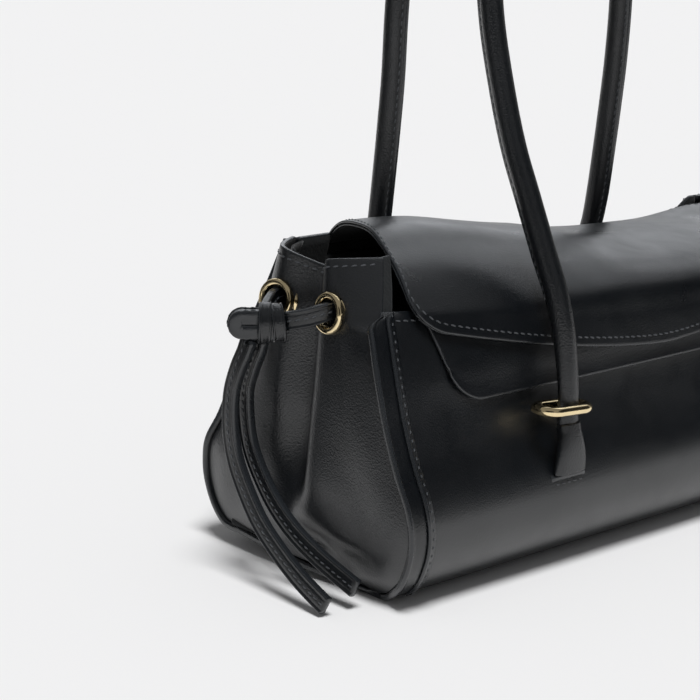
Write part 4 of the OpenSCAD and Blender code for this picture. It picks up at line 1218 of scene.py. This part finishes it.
def make_tab(front, side):
    """A sewn strap end, left in place on no body; the stretch where its top would bend with its strap is
    passed as its bend.
    """
    sign = -1 if front else 1
    base_y = float(face_at(front, side * LEG, SLIT_H)[0][1]) + sign * (GAP + TAB_T / 2)
    top_y = -FRONT_KY if front else BACK_KY
    ts = np.linspace(0, 1, 30)
    path = np.stack([side * LEG + 0 * ts, mix(base_y, top_y, ts) + np.sin(math.pi * ts) * 1.2 * sign,
                     mix(SLIT_H - 0.2, TAB_TOP, ts)], -1)
    part = sweep(path, [0, sign, 0], [tab_section(t) for t in ts], rounding=0.5)
    start, end = [(0, top_y * MM, (TAB_TOP - below) * MM) for below in TAB_BEND]
    nm = f"{corner_name(front, side)}_tab"
    make(f"{nm}_leather", part, [M_ROLL, M_EDGE], replaces=(nm,),
         bend=(f"{face_name(front)}_handle", start, end))


def lip(front, side):
    rows = []
    for x in np.linspace(-1, 1, 25) * LIP_W / 2:
        P, N = face_at(front, side * LEG + x, SLIT_H - LIP_DOWN)
        end_fade = math.sqrt(max(0, 1 - (abs(x) / (LIP_W / 2)) ** 6))
        rows.append(P + N * (LIP_HIGH * max(end_fade, 0.15))[:, None])
    F = ring_faces(len(rows), len(LIP_DOWN), open_rings=True)
    return np.array(rows).reshape(-1, 3), F, [0] * len(F)


def lip_stitches(front, side):
    line = [face_at(front, side * LEG + x, SLIT_H - LIP_STITCH_DOWN)
            for x in np.linspace(-1, 1, 12) * (TAB_W / 2 - 0.5)]
    return stitch_run([p for p, _ in line], [n for _, n in line], pitch=3.0, length=2.1)


for corner in CORNERS:
    make_tab(*corner)
make("slit_lip_edges", join_parts([lip(*corner) for corner in CORNERS]), [M_EDGE], replaces=("slit_lips",),
     slot="leather_edge")
make_thread("slit_thread", join_parts([lip_stitches(*corner) for corner in CORNERS]))

# CAD nodes that stay as they are, with a material of their own
for name, m in (("base_board", M_BOARD), ("backing_plates", M_BOARD), ("front_magnet", M_STEEL),
                ("flap_magnet", M_STEEL)):
    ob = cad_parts[name]
    ob.data.materials.clear()
    ob.data.materials.append(m)

# Studio, in metres
FLOOR_HALF = 30
PAPER, WORLD_COLOR, WORLD_STRENGTH = (0.9, 0.9, 0.905, 1), (0.87, 0.87, 0.875, 1), 0.24
SUN_STRENGTH, SUN_ANGLE, SUN_DIRECTION = 2.6, math.radians(20), Vector((0.16, 0.33, -1.0))
FLAG_SHADE, SOFTBOX_SHADE, SOFTBOX_GLOW, SOFTBOX_COLOR = 0.02, 0.8, 0.9, (0.93, 0.98, 1.05, 1)
# How softly a card's edges fade out, and how far a floor card lies over the floor
CARD_FADE, SOFTBOX_FADE, CARD_LIFT = 0.02, 0.05, 0.004
# Cards that only the leather's gloss reflects: place, point that they face, size
FLAGS = {
    "front_right_flag": ((1.35, -1.6, 0.95), (0, 0, 0.1), (3.4, 1.9)),
    "left_rear_flag": ((-1.6, 1.5, 0.7), (0, 0, 0.3), (2.8, 1.5)),
    "left_front_flag": ((-1.9, -1.4, 0.9), (0, 0, 0.1), (2.2, 1.5)),
}
# Dark cards on the floor: from and to along x and y
FLOOR_FLAGS = {
    "front_floor_flag": (-0.5, 2.6, -2.6, -0.62),
    "left_floor_flag": (-2.6, -0.21, -0.3, 1.6),
}
SOFTBOXES = {
    "top_softbox": ((0.75, 0.4, 1.25), (0, 0, 0.1), (1.6, 1.3)),
    "rear_softbox": ((1.3, 1.55, 0.95), (0, 0, 0.1), (2.4, 1.3)),
}


def rectangle(name, x0, x1, y0, y1):
    me = bpy.data.meshes.new(name)
    me.from_pydata([(x0, y0, 0), (x1, y0, 0), (x1, y1, 0), (x0, y1, 0)], [], [(0, 1, 2, 3)])
    return link(name, me)


def facing(direction):
    return direction.to_track_quat("-Z", "Y").to_euler()


def set_floor_and_light():
    floor = rectangle("floor", -FLOOR_HALF, FLOOR_HALF, -FLOOR_HALF, FLOOR_HALF)
    m, _, _, b = new_mat("floor_paper")
    set_inputs(b, Roughness=1, Specular_IOR_Level=0, Base_Color=PAPER)
    floor.data.materials.append(m)
    world = bpy.data.worlds.new("studio")
    bpy.context.scene.world = world
    world.use_nodes = True
    set_inputs(world.node_tree.nodes["Background"], Color=WORLD_COLOR, Strength=WORLD_STRENGTH)
    sun = bpy.data.lights.new("sun", "SUN")
    sun.energy = SUN_STRENGTH
    sun.angle = SUN_ANGLE
    sun_ob = link("sun", sun)
    # the gloss reflects the softboxes instead
    sun_ob.visible_glossy = False
    sun_ob.rotation_euler = facing(SUN_DIRECTION)


def multiply(nodes, links, a, b):
    node = nodes.new("ShaderNodeMath")
    node.operation = "MULTIPLY"
    links.new(a, node.inputs[0])
    links.new(b, node.inputs[1])
    return node.outputs[0]


def fade_edges(nodes, links, shader, soft):
    """Let a card's edges fade out, so that its reflection has no hard edge."""
    co = nodes.new("ShaderNodeTexCoord")
    sep = nodes.new("ShaderNodeSeparateXYZ")
    links.new(co.outputs["Generated"], sep.inputs[0])
    fades = []
    for axis in "XY":
        back = nodes.new("ShaderNodeMath")
        back.operation = "SUBTRACT"
        back.inputs[0].default_value = 1
        links.new(sep.outputs[axis], back.inputs[1])
        fades.append(multiply(nodes, links, sep.outputs[axis], back.outputs[0]))
    full_at = add(nodes, "MapRange", From_Max=soft)
    links.new(multiply(nodes, links, *fades), full_at.inputs["Value"])
    links.new(full_at.outputs["Result"], shader.inputs["Alpha"])


def card(name, box, shade, glow=0.0, soft=CARD_FADE):
    """A card that only the leather's gloss reflects, flat on the floor until it is placed."""
    o = rectangle(name, *box)
    m, n, l, b = new_mat(name)
    set_inputs(b, Base_Color=(shade, shade, shade, 1), Roughness=1)
    if glow:
        set_inputs(b, Emission_Color=SOFTBOX_COLOR, Emission_Strength=glow)
    fade_edges(n, l, b, soft)
    o.data.materials.append(m)
    o.visible_camera = False
    o.visible_diffuse = False
    o.visible_shadow = False
    o.location = (0, 0, CARD_LIFT)
    return o


def standing_card(name, place, target, size, *look):
    x, y = size[0] / 2, size[1] / 2
    o = card(name, (-x, x, -y, y), *look)
    o.location = place
    o.rotation_euler = facing(Vector(target) - Vector(place))


set_floor_and_light()
for name, spot in FLAGS.items():
    standing_card(name, *spot, FLAG_SHADE)
for name, box in FLOOR_FLAGS.items():
    card(name, box, FLAG_SHADE)
for name, spot in SOFTBOXES.items():
    standing_card(name, *spot, SOFTBOX_SHADE, SOFTBOX_GLOW, SOFTBOX_FADE)

bpy.context.scene.view_settings.view_transform = "Standard"
